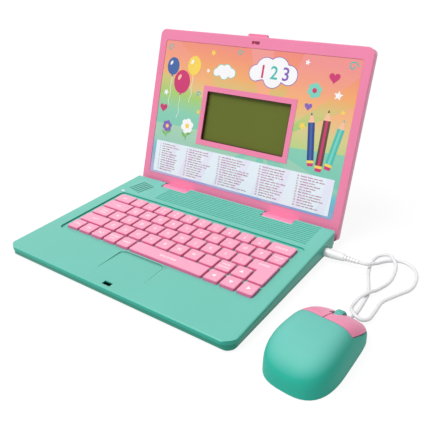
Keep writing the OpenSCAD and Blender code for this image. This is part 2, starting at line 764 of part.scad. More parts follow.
// ---- Keys: hollow caps with a skirt flange and a stem over the membrane's dome ----
module key_cap(mid) {
  difference() {
    union() {
      translate([0, 0, key_low]) linear_extrude(key_rise - key_low - 0.35) children(0);
      translate([0, 0, key_rise - 0.5]) linear_extrude(0.5) children(1);
      translate([0, 0, key_low]) linear_extrude(flange_t) children(2);
    }
    translate([0, 0, key_low - cut]) linear_extrude(key_rise - key_low - key_wall + cut)
      children(3);
  }
  translate([mid[0], mid[1], key_low]) cylinder(d = stem_d, h = key_rise - key_low - 0.5, $fn = 24);
}
module plain_key(k) set_on_origin() color(key_pink) on_deck() key_cap(key_mid(k)) {
  key_outline(k, 0);
  key_outline(k, -0.35);
  key_outline(k, flange);
  key_outline(k, -key_wall);
}
module key_escape() plain_key(escape_key);
module key_delete() plain_key(delete_key);
module key_tab() plain_key(tab_key);
module key_caps_lock() plain_key(caps_key);
module key_shift() plain_key(shift_key);
module key_space_bar() plain_key(space_key);
module key_arrow_up() plain_key(up_key);
module key_arrow_left() plain_key(left_key);
module key_arrow_down() plain_key(down_key);
module key_arrow_right() plain_key(right_key);
module keys_number_row() for (k = number_row) plain_key(k);
module keys_upper_row() for (k = upper_row) plain_key(k);
module keys_middle_row() for (k = middle_row) plain_key(k);
module keys_lower_row() for (k = lower_row) plain_key(k);
module keys_front_row() for (k = front_row) plain_key(k);
module key_enter() set_on_origin() color(key_pink) on_deck() key_cap(enter_mid) {
  enter_outline(0);
  enter_outline(-0.35);
  enter_outline(flange);
  enter_outline(-key_wall);
}

// ---- Lid ----
// Outer form of the lid between two depths below its face; inset gives the inner cavity
module lid_form(inset, back, front) {
  rb = max(lid_back_r - inset, 0.6);
  rf = 0.8;
  h = lid_top + lid_drop;
  intersection() {
    translate([0, 0, -back]) linear_extrude(back - front)
      round_rect(-lid_w / 2 + inset, lid_w / 2 - inset, -lid_drop + inset, lid_top - inset,
        lid_low_corner_r - inset, lid_corner_r - inset);
    translate([0, -lid_drop, 0]) along_x(lid_w)
      round_rect(inset, h - inset, -lid_t + inset, 0, rb, rf);
    translate([0, lid_top, 0]) rotate([90, 0, 0]) linear_extrude(h)
      round_rect(-lid_w / 2 + inset, lid_w / 2 - inset, -lid_t + inset, 0, rb, rf);
  }
}

module knuckle_profile() {
  translate([0, face_offset]) circle(knuckle_r);
  translate([-4, -1.2]) square([4 + knuckle_r - 0.3, face_offset + 1.2]);
}

module lcd_opening(grow) translate([lcd_x, lcd_v])
  square([lcd_w + 2 * grow, lcd_h + 2 * grow], center = true);

module panel_outline(inset)
  round_rect(panel_x - panel_w / 2 + inset, panel_x + panel_w / 2 - inset,
    panel_low + inset, panel_low + panel_h - inset, panel_corner_r, panel_corner_r);

hook_slot_w = 10.4;
hook_slot_h = 3.4;
hook_slot_x = 0.7;
tab_slot_w = tab_w + 2 * latch_travel + 2;
tab_slot_t = 4.2;
module latch_openings() {
  translate([hook_slot_x - hook_slot_w / 2, latch_v - hook_slot_h / 2, -lid_plate - cut])
    cube([hook_slot_w, hook_slot_h, lid_plate + 2 * cut]);
  translate([-tab_slot_w / 2 - 1, lid_top - lid_wall - cut, -frame_depth - tab_slot_t / 2])
    cube([tab_slot_w, lid_wall + 2 * cut, tab_slot_t]);
}

module lid_front_frame() set_on_origin() color(pink) on_lid() difference() {
  union() {
    difference() {
      lid_form(0, frame_depth, 0);
      lid_form(lid_wall, frame_depth + cut, lid_plate);
      translate([0, 0, -pocket_depth]) linear_extrude(5) difference() {
        panel_outline(0);
        lcd_opening(lcd_margin);
      }
    }
    translate([0, 0, -lcd_depth]) linear_extrude(lcd_depth - 1.2) difference() {
      lcd_opening(1.6);
      lcd_opening(0);
    }
    for (side = [-1, 1]) translate([side * knuckle_x, 0, 0]) along_x(knuckle_w) knuckle_profile();
    for (b = lid_bosses) translate([b[0], b[1], lid_screw_z]) cylinder(d = lid_boss_d, h = 6.4);
    // posts that carry the display's circuit board
    for (x = [-1, 1]) for (y = [-1, 1])
      translate([lcd_x + x * (lcd_board_w / 2 - 2.4), lcd_v + y * (lcd_board_h / 2 - 2.4),
        -lcd_depth - lcd_glass_t]) cylinder(d = 3.6, h = lcd_depth + lcd_glass_t - 1.2);
    // lower rail of the latch
    translate([-20, latch_v - 4.4, -lid_plate - 3.6]) cube([40, 1.6, 4.4]);
  }
  translate([0, 0, -lid_t]) linear_extrude(2 * lid_t) lcd_opening(0);
  translate([0, 0, face_offset]) rotate([0, 90, 0]) cylinder(d = bore_d, h = lid_w, center = true);
  latch_openings();
  for (b = lid_bosses) translate([b[0], b[1], lid_screw_z - cut])
    cylinder(d = screw_d + screw_clear, h = 5.6 + cut);
}

lcd_glass_t = 2.6;
lcd_board_w = lcd_w + 14;
lcd_board_h = lcd_h + 12;
module lid_back_cover() set_on_origin() color(pink) on_lid() difference() {
  union() {
    difference() {
      lid_form(0, lid_t, frame_depth);
      lid_form(lid_wall, lid_t - lid_wall, frame_depth - cut);
    }
    intersection() {
      union() {
        for (b = lid_bosses) translate([b[0], b[1], -lid_t])
          cylinder(d = lid_boss_d, h = lid_t + lid_screw_z);
        // bed that the latch slides on
        translate([-24, latch_v - 3, -lid_t + 0.4]) cube([48, 9, lid_wall]);
      }
      lid_form(0.3, lid_t, frame_depth);
    }
    // end stop of the latch spring
    translate([spring_stop_x - 1.6, latch_v - 2, -lid_t + lid_wall - 0.2])
      cube([1.6, 6, lid_t - lid_wall - lid_plate]);
  }
  latch_openings();
  for (b = lid_bosses) translate([b[0], b[1], -lid_t - cut]) {
    cylinder(d = screw_d + 2 * screw_clear, h = lid_t);
    cylinder(d = screw_head_d + 0.4, h = cut + screw_head_h + 0.3);
  }
}

module lid_screws() set_on_origin() color(steel) on_lid()
  for (b = lid_bosses) translate([b[0], b[1], -lid_t + screw_head_h + 0.3]) difference() {
    screw(8.6);
    translate([0, 0, -screw_head_h]) cube([3.2, 0.7, 1.2], center = true);
    translate([0, 0, -screw_head_h]) cube([0.7, 3.2, 1.2], center = true);
  }

module print_panel() set_on_origin() color("wheat") on_lid() translate([0, 0, -pocket_depth])
  linear_extrude(panel_t) difference() {
    panel_outline(0.2);
    lcd_opening(lcd_margin + 0.2);
  }

module lcd_glass() set_on_origin() color([0.42, 0.44, 0.21]) on_lid()
  translate([lcd_x, lcd_v, -lcd_depth - lcd_glass_t])
    translate([-lcd_w / 2 - 1.4, -lcd_h / 2 - 1.4, 0]) cube([lcd_w + 2.8, lcd_h + 2.8, lcd_glass_t]);

module lcd_circuit_board() set_on_origin() color(board_green) on_lid()
  translate([lcd_x, lcd_v, -lcd_depth - lcd_glass_t - board_t]) {
    translate([-lcd_board_w / 2, -lcd_board_h / 2, 0]) cube([lcd_board_w, lcd_board_h, board_t]);
    translate([-8, -8, -1.2]) cube([16, 16, 1.3]);
  }

// Latch: a tab on the top edge carries a block that the hook slides in
latch_block_w = 32;
latch_block_t = 1.6;
latch_block_low = -lid_plate - seat - latch_block_t;
hook_w = 4.4;
hook_t = 2.2;
hook_x = 2;
hook_barb = 1.2;
hook_barb_t = 1;
hook_tip = 0.6;
hook_foot_t = 0.6;
hook_foot_z = latch_block_low - seat - hook_travel - hook_foot_t;
module latch_tab() set_on_origin() color(pink) on_lid() difference() {
  union() {
    translate([-latch_block_w / 2, latch_v - 2.4, latch_block_low])
      cube([latch_block_w, lid_top - lid_wall - seat - latch_v + 2.4, latch_block_t]);
    translate([-tab_w / 2, lid_top - lid_wall - 1.4, -frame_depth - tab_slot_t / 2 + seat])
      cube([tab_w, lid_wall + 1.4 + tab_h - 0.8, tab_slot_t - 2 * seat]);
    // lug that the spring pushes on
    translate([-latch_block_w / 2, latch_v - 1, spring_z - 1.3])
      cube([1.6, 4, latch_block_low - spring_z + 1.4]);
    translate([-tab_w / 2 + 1, lid_top - lid_wall, -frame_depth - tab_slot_t / 2 + seat + 0.5])
      cube([tab_w - 2, lid_wall + tab_h, tab_slot_t - 2 * seat - 1]);
  }
  translate([hook_x - hook_w / 2 - 0.3, latch_v - hook_t / 2 - 0.3, -lid_t])
    cube([hook_w + 0.6, hook_t + 0.6, lid_t]);
}

module latch_hook() set_on_origin() color(pink) on_lid() {
  translate([hook_x - hook_w / 2, latch_v - hook_t / 2, hook_foot_z + 0.2])
    cube([hook_w, hook_t, -hook_tip - hook_foot_z - 0.2]);
  translate([hook_x + hook_w / 2 - 0.1, latch_v - hook_t / 2, -hook_tip - hook_barb_t])
    cube([hook_barb + 0.1, hook_t, hook_barb_t]);
  translate([hook_x - hook_w / 2 - 1, latch_v - hook_t / 2 - 0.8, hook_foot_z])
    cube([hook_w + 2, hook_t + 1.6, hook_foot_t]);
}

// Coil spring between the latch block and its end stop
spring_d = 2.6;
spring_wire = 0.5;
spring_turns = 9;
spring_stop_x = -28.4;
spring_z = latch_block_low - 0.6;
spring_l = -latch_block_w / 2 - spring_stop_x - 2 * 0.2;
module latch_spring() set_on_origin() color(steel) on_lid()
  translate([spring_stop_x + 0.2, latch_v + 1, spring_z]) rotate([0, 90, 0])
    for (i = [0 : spring_turns - 1]) translate([0, 0, (i + 0.5) * spring_l / spring_turns])
      rotate_extrude($fn = 16) translate([spring_d / 2 - spring_wire / 2, 0])
        square([spring_wire, spring_l / spring_turns + 0.02], center = true);

// ---- Mouse ----
function side_power(t) = t < 0 ? 2.8 : 6.2;
function half_width(t, inset) = (mouse_w / 2 - inset) * (1 - mouse_taper * t)
  * pow(1 - pow(abs(t), side_power(t)), 1 / side_power(t));
function top_height(t, inset) = t < mouse_peak
  ? mouse_rim_h + (mouse_h - inset - mouse_rim_h)
    * sqrt(1 - pow((mouse_peak - t) / (1 + mouse_peak), 2.5))
  : mouse_h - inset - (mouse_h - mouse_nose_h) * pow((t - mouse_peak) / (1 - mouse_peak), 1.6);
arch_curve = 3.7;
arch_power = 2 / arch_curve;
// Height of the mouse's skin, or of its inner face, over a point of its plan
function mouse_skin(x, y, inset) = let (t = y / (mouse_l / 2 - inset)) glide_h
  + top_height(t, inset) * pow(1 - pow(abs(x) / half_width(t, inset), arch_curve), 1 / arch_curve);
arch_steps = 20;
station_steps = 26;
function station(i) = sin(-86.5 + i * (80 + 86.5) / station_steps);
function arch_ring(t, inset) = [
  for (k = [0 : arch_steps]) let (a = 180 * k / arch_steps)
    [half_width(t, inset) * sign(cos(a)) * pow(abs(cos(a)), arch_power),
      t * (mouse_l / 2 - inset),
      glide_h + top_height(t, inset) * pow(abs(sin(a)), arch_power)]];
// Closed dome lofted through arches from the back of the mouse to its nose
module mouse_form(inset) {
  n = arch_steps + 1;
  last = station_steps;
  points = [for (i = [0 : last]) each arch_ring(station(i), inset)];
  faces = concat(
    [[for (k = [n - 1 : -1 : 0]) k]],
    [[for (k = [0 : n - 1]) last * n + k]],
    [for (i = [0 : last - 1]) for (k = [0 : n - 2])
      [i * n + k, i * n + k + 1, (i + 1) * n + k + 1, (i + 1) * n + k]],
    [for (i = [0 : last - 1]) [i * n + n - 1, i * n, (i + 1) * n, (i + 1) * n + n - 1]]);
  polyhedron(points, faces, convexity = 4);
}
// The part of the mouse that its buttons take: in front of an arc and above a sloping edge,
// with a gap at the arc and a dip that lets the nose of the button go down
module button_side(gap, dip) intersection() {
  translate([0, button_edge + button_arc_r, 0])
    cylinder(r = button_arc_r - gap, h = 2 * mouse_h, $fn = 144);
  along_x(2 * mouse_w) polygon([[button_edge - 1, skirt_rear_z + gap],
    [skirt_nose_y, skirt_nose_z + dip], [mouse_l, skirt_nose_z + dip * 1.2],
    [mouse_l, 2 * mouse_h], [button_edge - 1, 2 * mouse_h]]);
}

module mouse_top_shell() set_on_origin() color(mint) on_mouse() {
  difference() {
    mouse_form(0);
    mouse_form(mouse_wall);
    translate([-mouse_w, -mouse_l, -cut]) cube([2 * mouse_w, 2 * mouse_l, mouse_seam + cut]);
    button_side(0, -seat);
  }
  // screw boss, up into the middle of the skin
  difference() {
    intersection() {
      translate([0, mouse_screw_y, mouse_seam - 2]) cylinder(d = 5.6, h = mouse_h);
      mouse_form(mouse_wall / 2);
    }
    translate([0, mouse_screw_y, mouse_seam - 2 - cut]) cylinder(d = screw_d + screw_clear, h = 10);
  }
}

mouse_screw_y = -mouse_l / 2 + 15;
module mouse_bottom_shell() set_on_origin() color(mint) on_mouse() difference() {
  union() {
    difference() {
      intersection() {
        mouse_form(0);
        translate([-mouse_w, -mouse_l, 0]) cube([2 * mouse_w, 2 * mouse_l, mouse_seam]);
      }
      translate([0, 0, mouse_wall]) intersection() {
        mouse_form(mouse_wall);
        translate([-mouse_w, -mouse_l, 0]) cube([2 * mouse_w, 2 * mouse_l, 2 * mouse_seam]);
      }
    }
    for (side = [-1, 1]) translate([side * (wheel_w / 2 + wheel_room + post_t / 2), wheel_y, 0])
      translate([-post_t / 2, -post_d / 2, glide_h + 0.5])
        cube([post_t, post_d, wheel_z + axle_d / 2 + 0.8 - glide_h - 0.5]);
    translate([0, mouse_screw_y, glide_h]) cylinder(d = 7, h = mouse_seam - 2.2 - glide_h);
    for (x = [-13, 13]) for (y = [-22, 20]) translate([x, y, glide_h + 0.5])
      cylinder(d = 4, h = mouse_board_z - glide_h - 0.5);
  }
  translate([0, wheel_y, wheel_z]) rotate([0, 90, 0])
    cylinder(d = axle_d + 0.04, h = 40, center = true);
  translate([0, mouse_screw_y, 0]) {
    cylinder(d = screw_d + 2 * screw_clear, h = 20);
    cylinder(d = screw_head_d + 0.4, h = glide_h + screw_head_h + 0.4);
  }
  translate([0, lens_y, 0]) cylinder(d = lens_d + 0.2, h = 9);
  translate([0, grommet_y - 0.2, grommet_z]) rotate([-90, 0, 0]) {
    cylinder(d = grommet_d + 0.1, h = 20);
    cylinder(d = grommet_flange + 0.2, h = 2.4);
  }
}

module mouse_button(side) set_on_origin() color(pink) on_mouse() {
  intersection() {
    difference() {
      mouse_form(0);
      mouse_form(mouse_wall);
    }
    button_side(button_gap, button_dip);
    difference() {
      translate([side > 0 ? button_split / 2 : -mouse_w, 0, 0])
        cube([mouse_w - button_split / 2, mouse_l, 2 * mouse_h]);
      translate([-wheel_w / 2 - 0.7, wheel_y - wheel_d / 2 - 1, 0])
        cube([wheel_w + 1.4, wheel_d + 2, 2 * mouse_h]);
    }
  }
  translate([side * switch_x, switch_y, plunger_low])
    cylinder(d = 4, h = mouse_skin(switch_x, switch_y, mouse_wall) + 1 - plunger_low, $fn = 24);
}
switch_x = 14;
switch_y = mouse_l / 2 - 11;
switch_h = 3.6;
switch_cap = 0.8;
// The plunger stops short of its switch by more than the button's dip there
plunger_gap = 1.6;
plunger_low = mouse_board_z + board_t + switch_h + switch_cap + plunger_gap;
module mouse_left_button() mouse_button(-1);
module mouse_right_button() mouse_button(1);

module scroll_wheel() set_on_origin() color(mint) on_mouse()
  translate([0, wheel_y, wheel_z]) rotate([0, 90, 0]) difference() {
    union() {
      cylinder(d = wheel_d - 1.2, h = wheel_w, center = true);
      cylinder(d = wheel_d, h = wheel_w - 2, center = true);
    }
    cylinder(d = axle_d + 2 * run_clear, h = 20, center = true);
    for (i = [0 : 23]) rotate([0, 0, i * 15]) translate([wheel_d / 2, 0, 0])
      cube([0.8, 0.9, 20], center = true);
  }

module wheel_axle() set_on_origin() color(steel) on_mouse()
  translate([0, wheel_y, wheel_z]) rotate([0, 90, 0]) cylinder(d = axle_d, h = axle_l, center = true);

module mouse_circuit_board() set_on_origin() color(board_green) on_mouse()
  translate([0, 0, mouse_board_z]) {
    difference() {
      translate([-mouse_board_w / 2, mouse_board_y, 0])
        cube([mouse_board_w, mouse_board_l, board_t]);
      translate([-7, wheel_y - 11, -cut]) cube([14, 40, 10]);
    }
    for (x = [-switch_x, switch_x]) {
      translate([x - 2.9, switch_y - 6, board_t - 0.1]) cube([5.8, 11, switch_h]);
      translate([x, switch_y, board_t + switch_h - 0.2])
        cylinder(d = 3, h = switch_cap + 0.2, $fn = 24);
    }
    translate([-5, -14, board_t - 0.1]) cube([10, 12, 3]);
  }

mouse_board_w = 36;
mouse_board_l = mouse_l - 30;
mouse_board_y = -mouse_l / 2 + 23;
lens_d = 8;
lens_y = -8;
module mouse_lens() set_on_origin() color([0.85, 0.5, 0.45]) on_mouse()
  translate([0, lens_y, glide_h + 0.6]) cylinder(d = lens_d, h = mouse_board_z - glide_h - 0.6);

module mouse_glides() set_on_origin() color(rubber) on_mouse()
  for (side = [-1, 1]) translate([0, side * mouse_l / 2 + (side < 0 ? 7.5 : -11), 0])
    round_slab(side < 0 ? 18 : 26, 4.4, glide_h, 2);

module mouse_screw() set_on_origin() color(steel) on_mouse()
  translate([0, mouse_screw_y, glide_h + screw_head_h + 0.4]) difference() {
    screw(10);
    translate([0, 0, -screw_head_h]) cube([3.2, 0.7, 1.2], center = true);
    translate([0, 0, -screw_head_h]) cube([0.7, 3.2, 1.2], center = true);
  }

module mouse_grommet() set_on_origin() color("white") on_mouse()
  translate([0, grommet_y, grommet_z]) rotate([-90, 0, 0]) {
    cylinder(d = grommet_flange, h = 2);
    cylinder(d = grommet_d, h = grommet_l - 3);
    translate([0, 0, grommet_l - 3]) cylinder(d1 = grommet_d, d2 = cord_d + 1, h = 3);
  }

// ---- Plug and cord ----
module plug_grip() set_on_origin() color(white)
  translate([plug_face, socket_y, socket_z]) rotate([0, 90, 0]) rotate_extrude()
    polygon([[0, 0], [plug_d / 2 - 0.6, 0], [plug_d / 2, 0.6], [plug_d / 2, plug_l * 0.45],
      [plug_d / 2 - 0.8, plug_l - 0.8], [plug_d / 2 - 1.4, plug_l], [0, plug_l]]);

module plug_pin() set_on_origin() color(steel)
  translate([plug_face, socket_y, socket_z]) rotate([0, -90, 0]) rotate_extrude()
    polygon([[0, 0], [jack_d / 2, 0], [jack_d / 2, pin_l - 3], [jack_d / 2 - 0.5, pin_l - 2.4],
      [jack_d / 2 - 0.2, pin_l - 1.8], [0.6, pin_l], [0, pin_l]]);

module plug_relief() set_on_origin() color(white)
  translate([plug_face + plug_l, socket_y, socket_z]) rotate([0, 90, 0]) difference() {
    cylinder(d1 = relief_d, d2 = cord_d + 1.2, h = relief_l);
    for (i = [0 : relief_rings - 1]) translate([0, 0, 2 + i * 3.2]) difference() {
      cylinder(d = relief_d + 2, h = 1.3);
      translate([0, 0, -cut]) cylinder(d = cord_d + 0.6, h = 1.3 + 2 * cut);
    }
  }

// Route of the cord in the laptop's frame: out of the strain relief, over the table in two
// loops that cross, and into the nose of the mouse
lay = cord_d / 2 + 0.2;
over = lay + cord_d + 0.6;
function from_mouse(p) = [
  mouse_x + p[0] * cos(mouse_turn) - p[1] * sin(mouse_turn),
  mouse_y + p[0] * sin(mouse_turn) + p[1] * cos(mouse_turn), p[2]];
plug_end = [plug_face + plug_l + relief_l, socket_y, socket_z];
cord_end = from_mouse([0, grommet_y + grommet_l, grommet_z]);
cord_route = [
  plug_end, [186, 181.5, 8.6], [190, 186.5, 7.6], [194, 195, 5.4], [197, 205, 3.2],
  [202, 213, lay], [213, 218, lay], [225, 212, lay], [233, 196, lay], [234, 174, lay],
  [226, 156, lay], [218, 138, lay], [217.2, 120, lay], [217, 105, lay + 1.6],
  [213.5, 97.5, over - 0.4], [207.5, 97.6, over + 1], [202, 102.5, over + 1],
  [198.7, 111, over - 2], [197.7, 119, lay + 0.8], [199.5, 129, over - 1.2],
  [204.2, 139.5, over], [208.5, 153, lay + 1.2], [213.4, 176, lay],
  [211, 200, lay + 1.6], [206, 209, over], [200, 216, over], [193, 219, lay + 1.4],
  [187.5, 213, lay], [186.5, 197, lay], [190.5, 178, lay], [195.5, 164, lay],
  [199.6, 153, lay], [202.6, 143.5, lay], [203.6, 133.5, lay], [204.2, 122, lay],
  [204.4, 107, lay + 0.1],
  from_mouse([0, grommet_y + grommet_l + 4, grommet_z - 0.6]),
  cord_end];

module mouse_cord() set_on_origin() color(white)
  cord_tube(cord_route, cord_d / 2, [1, 0, 0], [sin(mouse_turn), -cos(mouse_turn), 0]);

// Tube with eight sides swept along a smooth curve through the given points
function spline(p0, p1, p2, p3, t) = 0.5 * (2 * p1 + (p2 - p0) * t
  + (2 * p0 - 5 * p1 + 4 * p2 - p3) * t * t + (3 * p1 - 3 * p2 + p3 - p0) * t * t * t);
function route_point(route, s) = let (n = len(route) - 1, i = min(floor(s), n - 1), t = s - i)
  spline(route[max(i - 1, 0)], route[i], route[i + 1], route[min(i + 2, n)], t);
function unit(v) = v / norm(v);
cord_sides = 8;
cord_sub = 2;
module cord_tube(route, r, way_in, way_out) {
  rings = (len(route) - 1) * cord_sub;
  centre = [for (i = [0 : rings]) route_point(route, i / cord_sub)];
  ahead = [for (i = [0 : rings]) i == 0 ? way_in : i == rings ? way_out
    : unit(centre[i + 1] - centre[i - 1])];
  side = [for (d = ahead) unit(cross(d, [0, 0, 1]))];
  points = [for (i = [0 : rings]) for (k = [0 : cord_sides - 1])
    let (a = 360 * (k + 0.5) / cord_sides)
      centre[i] + r / cos(180 / cord_sides) * (cos(a) * side[i] + sin(a) * cross(side[i], ahead[i]))];
  faces = concat([[for (k = [cord_sides - 1 : -1 : 0]) k]],
    [[for (k = [0 : cord_sides - 1]) rings * cord_sides + k]],
    [for (i = [0 : rings - 1]) for (k = [0 : cord_sides - 1]) let (m = (k + 1) % cord_sides)
      [i * cord_sides + k, i * cord_sides + m, (i + 1) * cord_sides + m, (i + 1) * cord_sides + k]]);
  polyhedron(points, faces, convexity = 6);
}

base_top_cover();
base_bottom_cover();
battery_door();
battery_cells();
battery_contacts();
base_screws();
rubber_feet();
main_circuit_board();
mouse_socket();
speaker();
power_led();
key_membrane();
key_circuit_board();
hinge_pins();
lid_front_frame();
lid_back_cover();
lid_screws();
print_panel();
lcd_glass();
lcd_circuit_board();
latch_tab();
latch_hook();
latch_spring();
key_escape();
key_delete();
key_tab();
key_caps_lock();
key_shift();
key_enter();
key_space_bar();
key_arrow_up();
key_arrow_left();
key_arrow_down();
key_arrow_right();
keys_number_row();
keys_upper_row();
keys_middle_row();
keys_lower_row();
keys_front_row();
mouse_top_shell();
mouse_bottom_shell();
mouse_left_button();
mouse_right_button();
scroll_wheel();
wheel_axle();
mouse_circuit_board();
mouse_lens();
mouse_glides();
mouse_screw();
mouse_grommet();
mouse_cord();
plug_grip();
plug_pin();
plug_relief();
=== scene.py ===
import math
import random

import bmesh
import bpy
from mathutils import Matrix, Vector


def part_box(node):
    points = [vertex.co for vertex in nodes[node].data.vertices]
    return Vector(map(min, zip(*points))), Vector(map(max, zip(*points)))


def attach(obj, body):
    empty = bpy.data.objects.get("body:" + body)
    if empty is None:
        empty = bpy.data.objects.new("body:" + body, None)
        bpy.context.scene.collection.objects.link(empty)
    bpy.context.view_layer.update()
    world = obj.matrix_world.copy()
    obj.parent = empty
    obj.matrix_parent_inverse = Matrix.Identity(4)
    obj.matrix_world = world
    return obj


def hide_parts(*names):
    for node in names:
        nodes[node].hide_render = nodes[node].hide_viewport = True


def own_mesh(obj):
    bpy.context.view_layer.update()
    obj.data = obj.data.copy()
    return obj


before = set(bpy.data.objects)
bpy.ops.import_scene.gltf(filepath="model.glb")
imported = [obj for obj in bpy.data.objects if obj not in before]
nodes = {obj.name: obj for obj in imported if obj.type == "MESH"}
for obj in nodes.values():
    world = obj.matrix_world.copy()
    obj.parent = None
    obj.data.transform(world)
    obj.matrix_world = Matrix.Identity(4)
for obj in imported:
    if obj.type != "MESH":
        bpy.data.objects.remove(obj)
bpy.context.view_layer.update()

MM = 0.001

# Places are written in millimetres from the middle of the laptop's front edge, on the table.
cover_low, cover_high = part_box("base_top_cover")
origin = Vector(((cover_low.x + cover_high.x) / 2, cover_low.y, 0))
DECK_RISE, DECK_RUN, DECK_FRONT = 9.8, 209, 11.8
DECK_SLOPE = math.atan(DECK_RISE / DECK_RUN)
LID_TILT = math.radians(74)
HINGE_Y, HINGE_Z, LID_FACE = 203, 13.908, 9.6
MOUSE_X, MOUSE_Y, MOUSE_TURN = 197.1, 39.4, math.radians(-5.7)


def P(x, y, z):
    """A point of the table frame, in metres."""
    return origin + Vector((x, y, z)) * MM


def axes(at, ex, ey, ez):
    """The matrix that takes millimetres along three directions to the row frame."""
    m = Matrix((ex, ey, ez)).transposed().to_4x4()
    return Matrix.Translation(at) @ m @ Matrix.Scale(MM, 4)


def show(obj):
    """Puts an object in the scene."""
    bpy.context.scene.collection.objects.link(obj)
    return obj


cs, sn = math.cos(DECK_SLOPE), math.sin(DECK_SLOPE)
ct, st = math.cos(LID_TILT), math.sin(LID_TILT)
cm, sm = math.cos(MOUSE_TURN), math.sin(MOUSE_TURN)
DECK = axes(P(0, 0, DECK_FRONT), (1, 0, 0), (0, cs, sn), (0, -sn, cs))
LID = axes(P(0, HINGE_Y + LID_FACE * st, HINGE_Z - LID_FACE * ct),
           (1, 0, 0), (0, ct, st), (0, -st, ct))

# ---------------------------------------------------------------- camera

AZIMUTH, ELEVATION, DISTANCE = math.radians(34.30), math.radians(24.10), 608.1
AIM = (4.04, 185.9, 40)
toward = Vector((math.sin(AZIMUTH) * math.cos(ELEVATION),
                 -math.cos(AZIMUTH) * math.cos(ELEVATION), math.sin(ELEVATION)))
camera_data = bpy.data.cameras.new("camera")
camera_data.lens = 43.6
camera_data.sensor_width = 36
camera_data.shift_x = -0.0096
camera_data.shift_y = -0.0521
camera_data.clip_start = 0.01
camera = show(bpy.data.objects.new("camera", camera_data))
camera.location = P(*AIM) + toward * DISTANCE * MM
camera.rotation_euler = (-toward).to_track_quat("-Z", "Y").to_euler()
bpy.context.scene.camera = camera

# ---------------------------------------------------------------- colours and materials


def rgb(r, g, b):
    """An sRGB colour of 0 to 255 as the linear one that a shader takes."""
    return tuple(c / 12.92 if c <= 0.04045 else ((c + 0.055) / 1.055) ** 2.4
                 for c in (r / 255, g / 255, b / 255)) + (1.0,)


def add(nt, kind, **settings):
    """A shader node of a kind, with its options set."""
    node = nt.nodes.new("ShaderNode" + kind)
    for option, value in settings.items():
        setattr(node, option, value)
    return node


def feed(nt, socket, value):
    """Sets a socket to a constant, or links the output of another node to it."""
    if isinstance(value, bpy.types.NodeSocket):
        nt.links.new(value, socket)
    else:
        socket.default_value = value


def mixed(nt, share, a, b, blend_type="MIX"):
    """Colour a turned into colour b by a share."""
    node = add(nt, "Mix", data_type="RGBA", blend_type=blend_type)
    for label, value in (("Factor", share), ("A", a), ("B", b)):
        feed(nt, node.inputs[label], value)
    return node.outputs["Result"]


def ranged(nt, value, from_min, from_max, to_min=0, to_max=1):
    """A value taken from one range to another."""
    node = add(nt, "MapRange")
    for label, v in (("Value", value), ("From Min", from_min), ("From Max", from_max),
                     ("To Min", to_min), ("To Max", to_max)):
        feed(nt, node.inputs[label], v)
    return node.outputs["Result"]


def computed(nt, operation, *values):
    """What a Math node makes of the values."""
    node = add(nt, "Math", operation=operation)
    for socket, value in zip(node.inputs, values):
        feed(nt, socket, value)
    return node.outputs["Value"]


def noise(nt, place, scale, detail):
    """Noise of 0 to 1 at a place."""
    node = add(nt, "TexNoise")
    for label, value in (("Vector", place), ("Scale", scale), ("Detail", detail)):
        feed(nt, node.inputs[label], value)
    return node.outputs["Fac"]


def seen_directly(nt):
    """1 for rays of the camera, of a reflection and through a clear piece, 0 for diffuse light."""
    path = add(nt, "LightPath").outputs
    share = computed(nt, "MAXIMUM", path["Is Camera Ray"], path["Is Glossy Ray"])
    return computed(nt, "MAXIMUM", share, path["Is Transmission Ray"])


GRAIN_DEPTH = 0.0002  # metres
SLOW_CHANGE = 14  # changes of tone and gloss in a metre
GLOSS_SWING = 0.07
WALL_UP, TOP_UP = 0.35, 0.97  # the normal's Z where the painted shade on walls is full, and where a level face has none
DUST_SCALE, DUST_NEAR, DUST_FAR, DUST_GREY = 420, 0.05, 0.16, (0.8, 0.8, 0.8, 1)


def moulded(name, colour, wall_shade=None, rough=0.38, grain=1400, bump=0.12, vary=0.05, coat=0.0,
            subsurface=0.0, speck=0.0, shine=0.5):
    """Moulded plastic: a fine spark-eroded grain, slow changes of tone and gloss, painted shade
    that darkens the tone on walls, and pale specks."""
    m = bpy.data.materials.new(name)
    m.use_nodes = True
    nt = m.node_tree
    shader = nt.nodes["Principled BSDF"].inputs
    place = add(nt, "TexCoord").outputs["Object"]
    slow = noise(nt, place, SLOW_CHANGE, 4)
    raised = add(nt, "Bump")
    raised.inputs["Strength"].default_value = bump
    raised.inputs["Distance"].default_value = GRAIN_DEPTH
    feed(nt, raised.inputs["Height"], noise(nt, place, grain, 3))
    feed(nt, shader["Normal"], raised.outputs["Normal"])
    tone = mixed(nt, slow, tuple(c * (1 - vary) for c in colour[:3]) + (1,),
                 tuple(min(1, c * (1 + vary)) for c in colour[:3]) + (1,))
    # Painted shade: walls turn towards a darker colour by the normal's Z, where less light falls on
    # them.
    if wall_shade is not None:
        upward = add(nt, "SeparateXYZ")
        feed(nt, upward.inputs["Vector"], add(nt, "NewGeometry").outputs["Normal"])
        tone = mixed(nt, ranged(nt, upward.outputs["Z"], WALL_UP, TOP_UP), wall_shade, tone)
    if speck:
        dots = add(nt, "TexVoronoi")
        dots.inputs["Scale"].default_value = DUST_SCALE
        feed(nt, dots.inputs["Vector"], place)
        dust = ranged(nt, dots.outputs["Distance"], DUST_NEAR, DUST_FAR, speck, 0)
        tone = mixed(nt, dust, tone, DUST_GREY)
    feed(nt, shader["Base Color"], tone)
    feed(nt, shader["Roughness"], ranged(nt, slow, 0, 1, rough - GLOSS_SWING, rough + GLOSS_SWING))
    shader["Specular IOR Level"].default_value = shine
    shader["Coat Weight"].default_value = coat
    shader["Coat Roughness"].default_value = 0.25
    if subsurface:
        shader["Subsurface Weight"].default_value = subsurface
        shader["Subsurface Radius"].default_value = (0.004, 0.002, 0.0015)
    return m


def printed(name, colour, rough=0.4, wear=0.06):
    """Ink: flat colour with the faint mottle and edge roughness of a printed film."""
    return moulded(name, colour, rough=rough, grain=2600, bump=0.05, vary=wear)


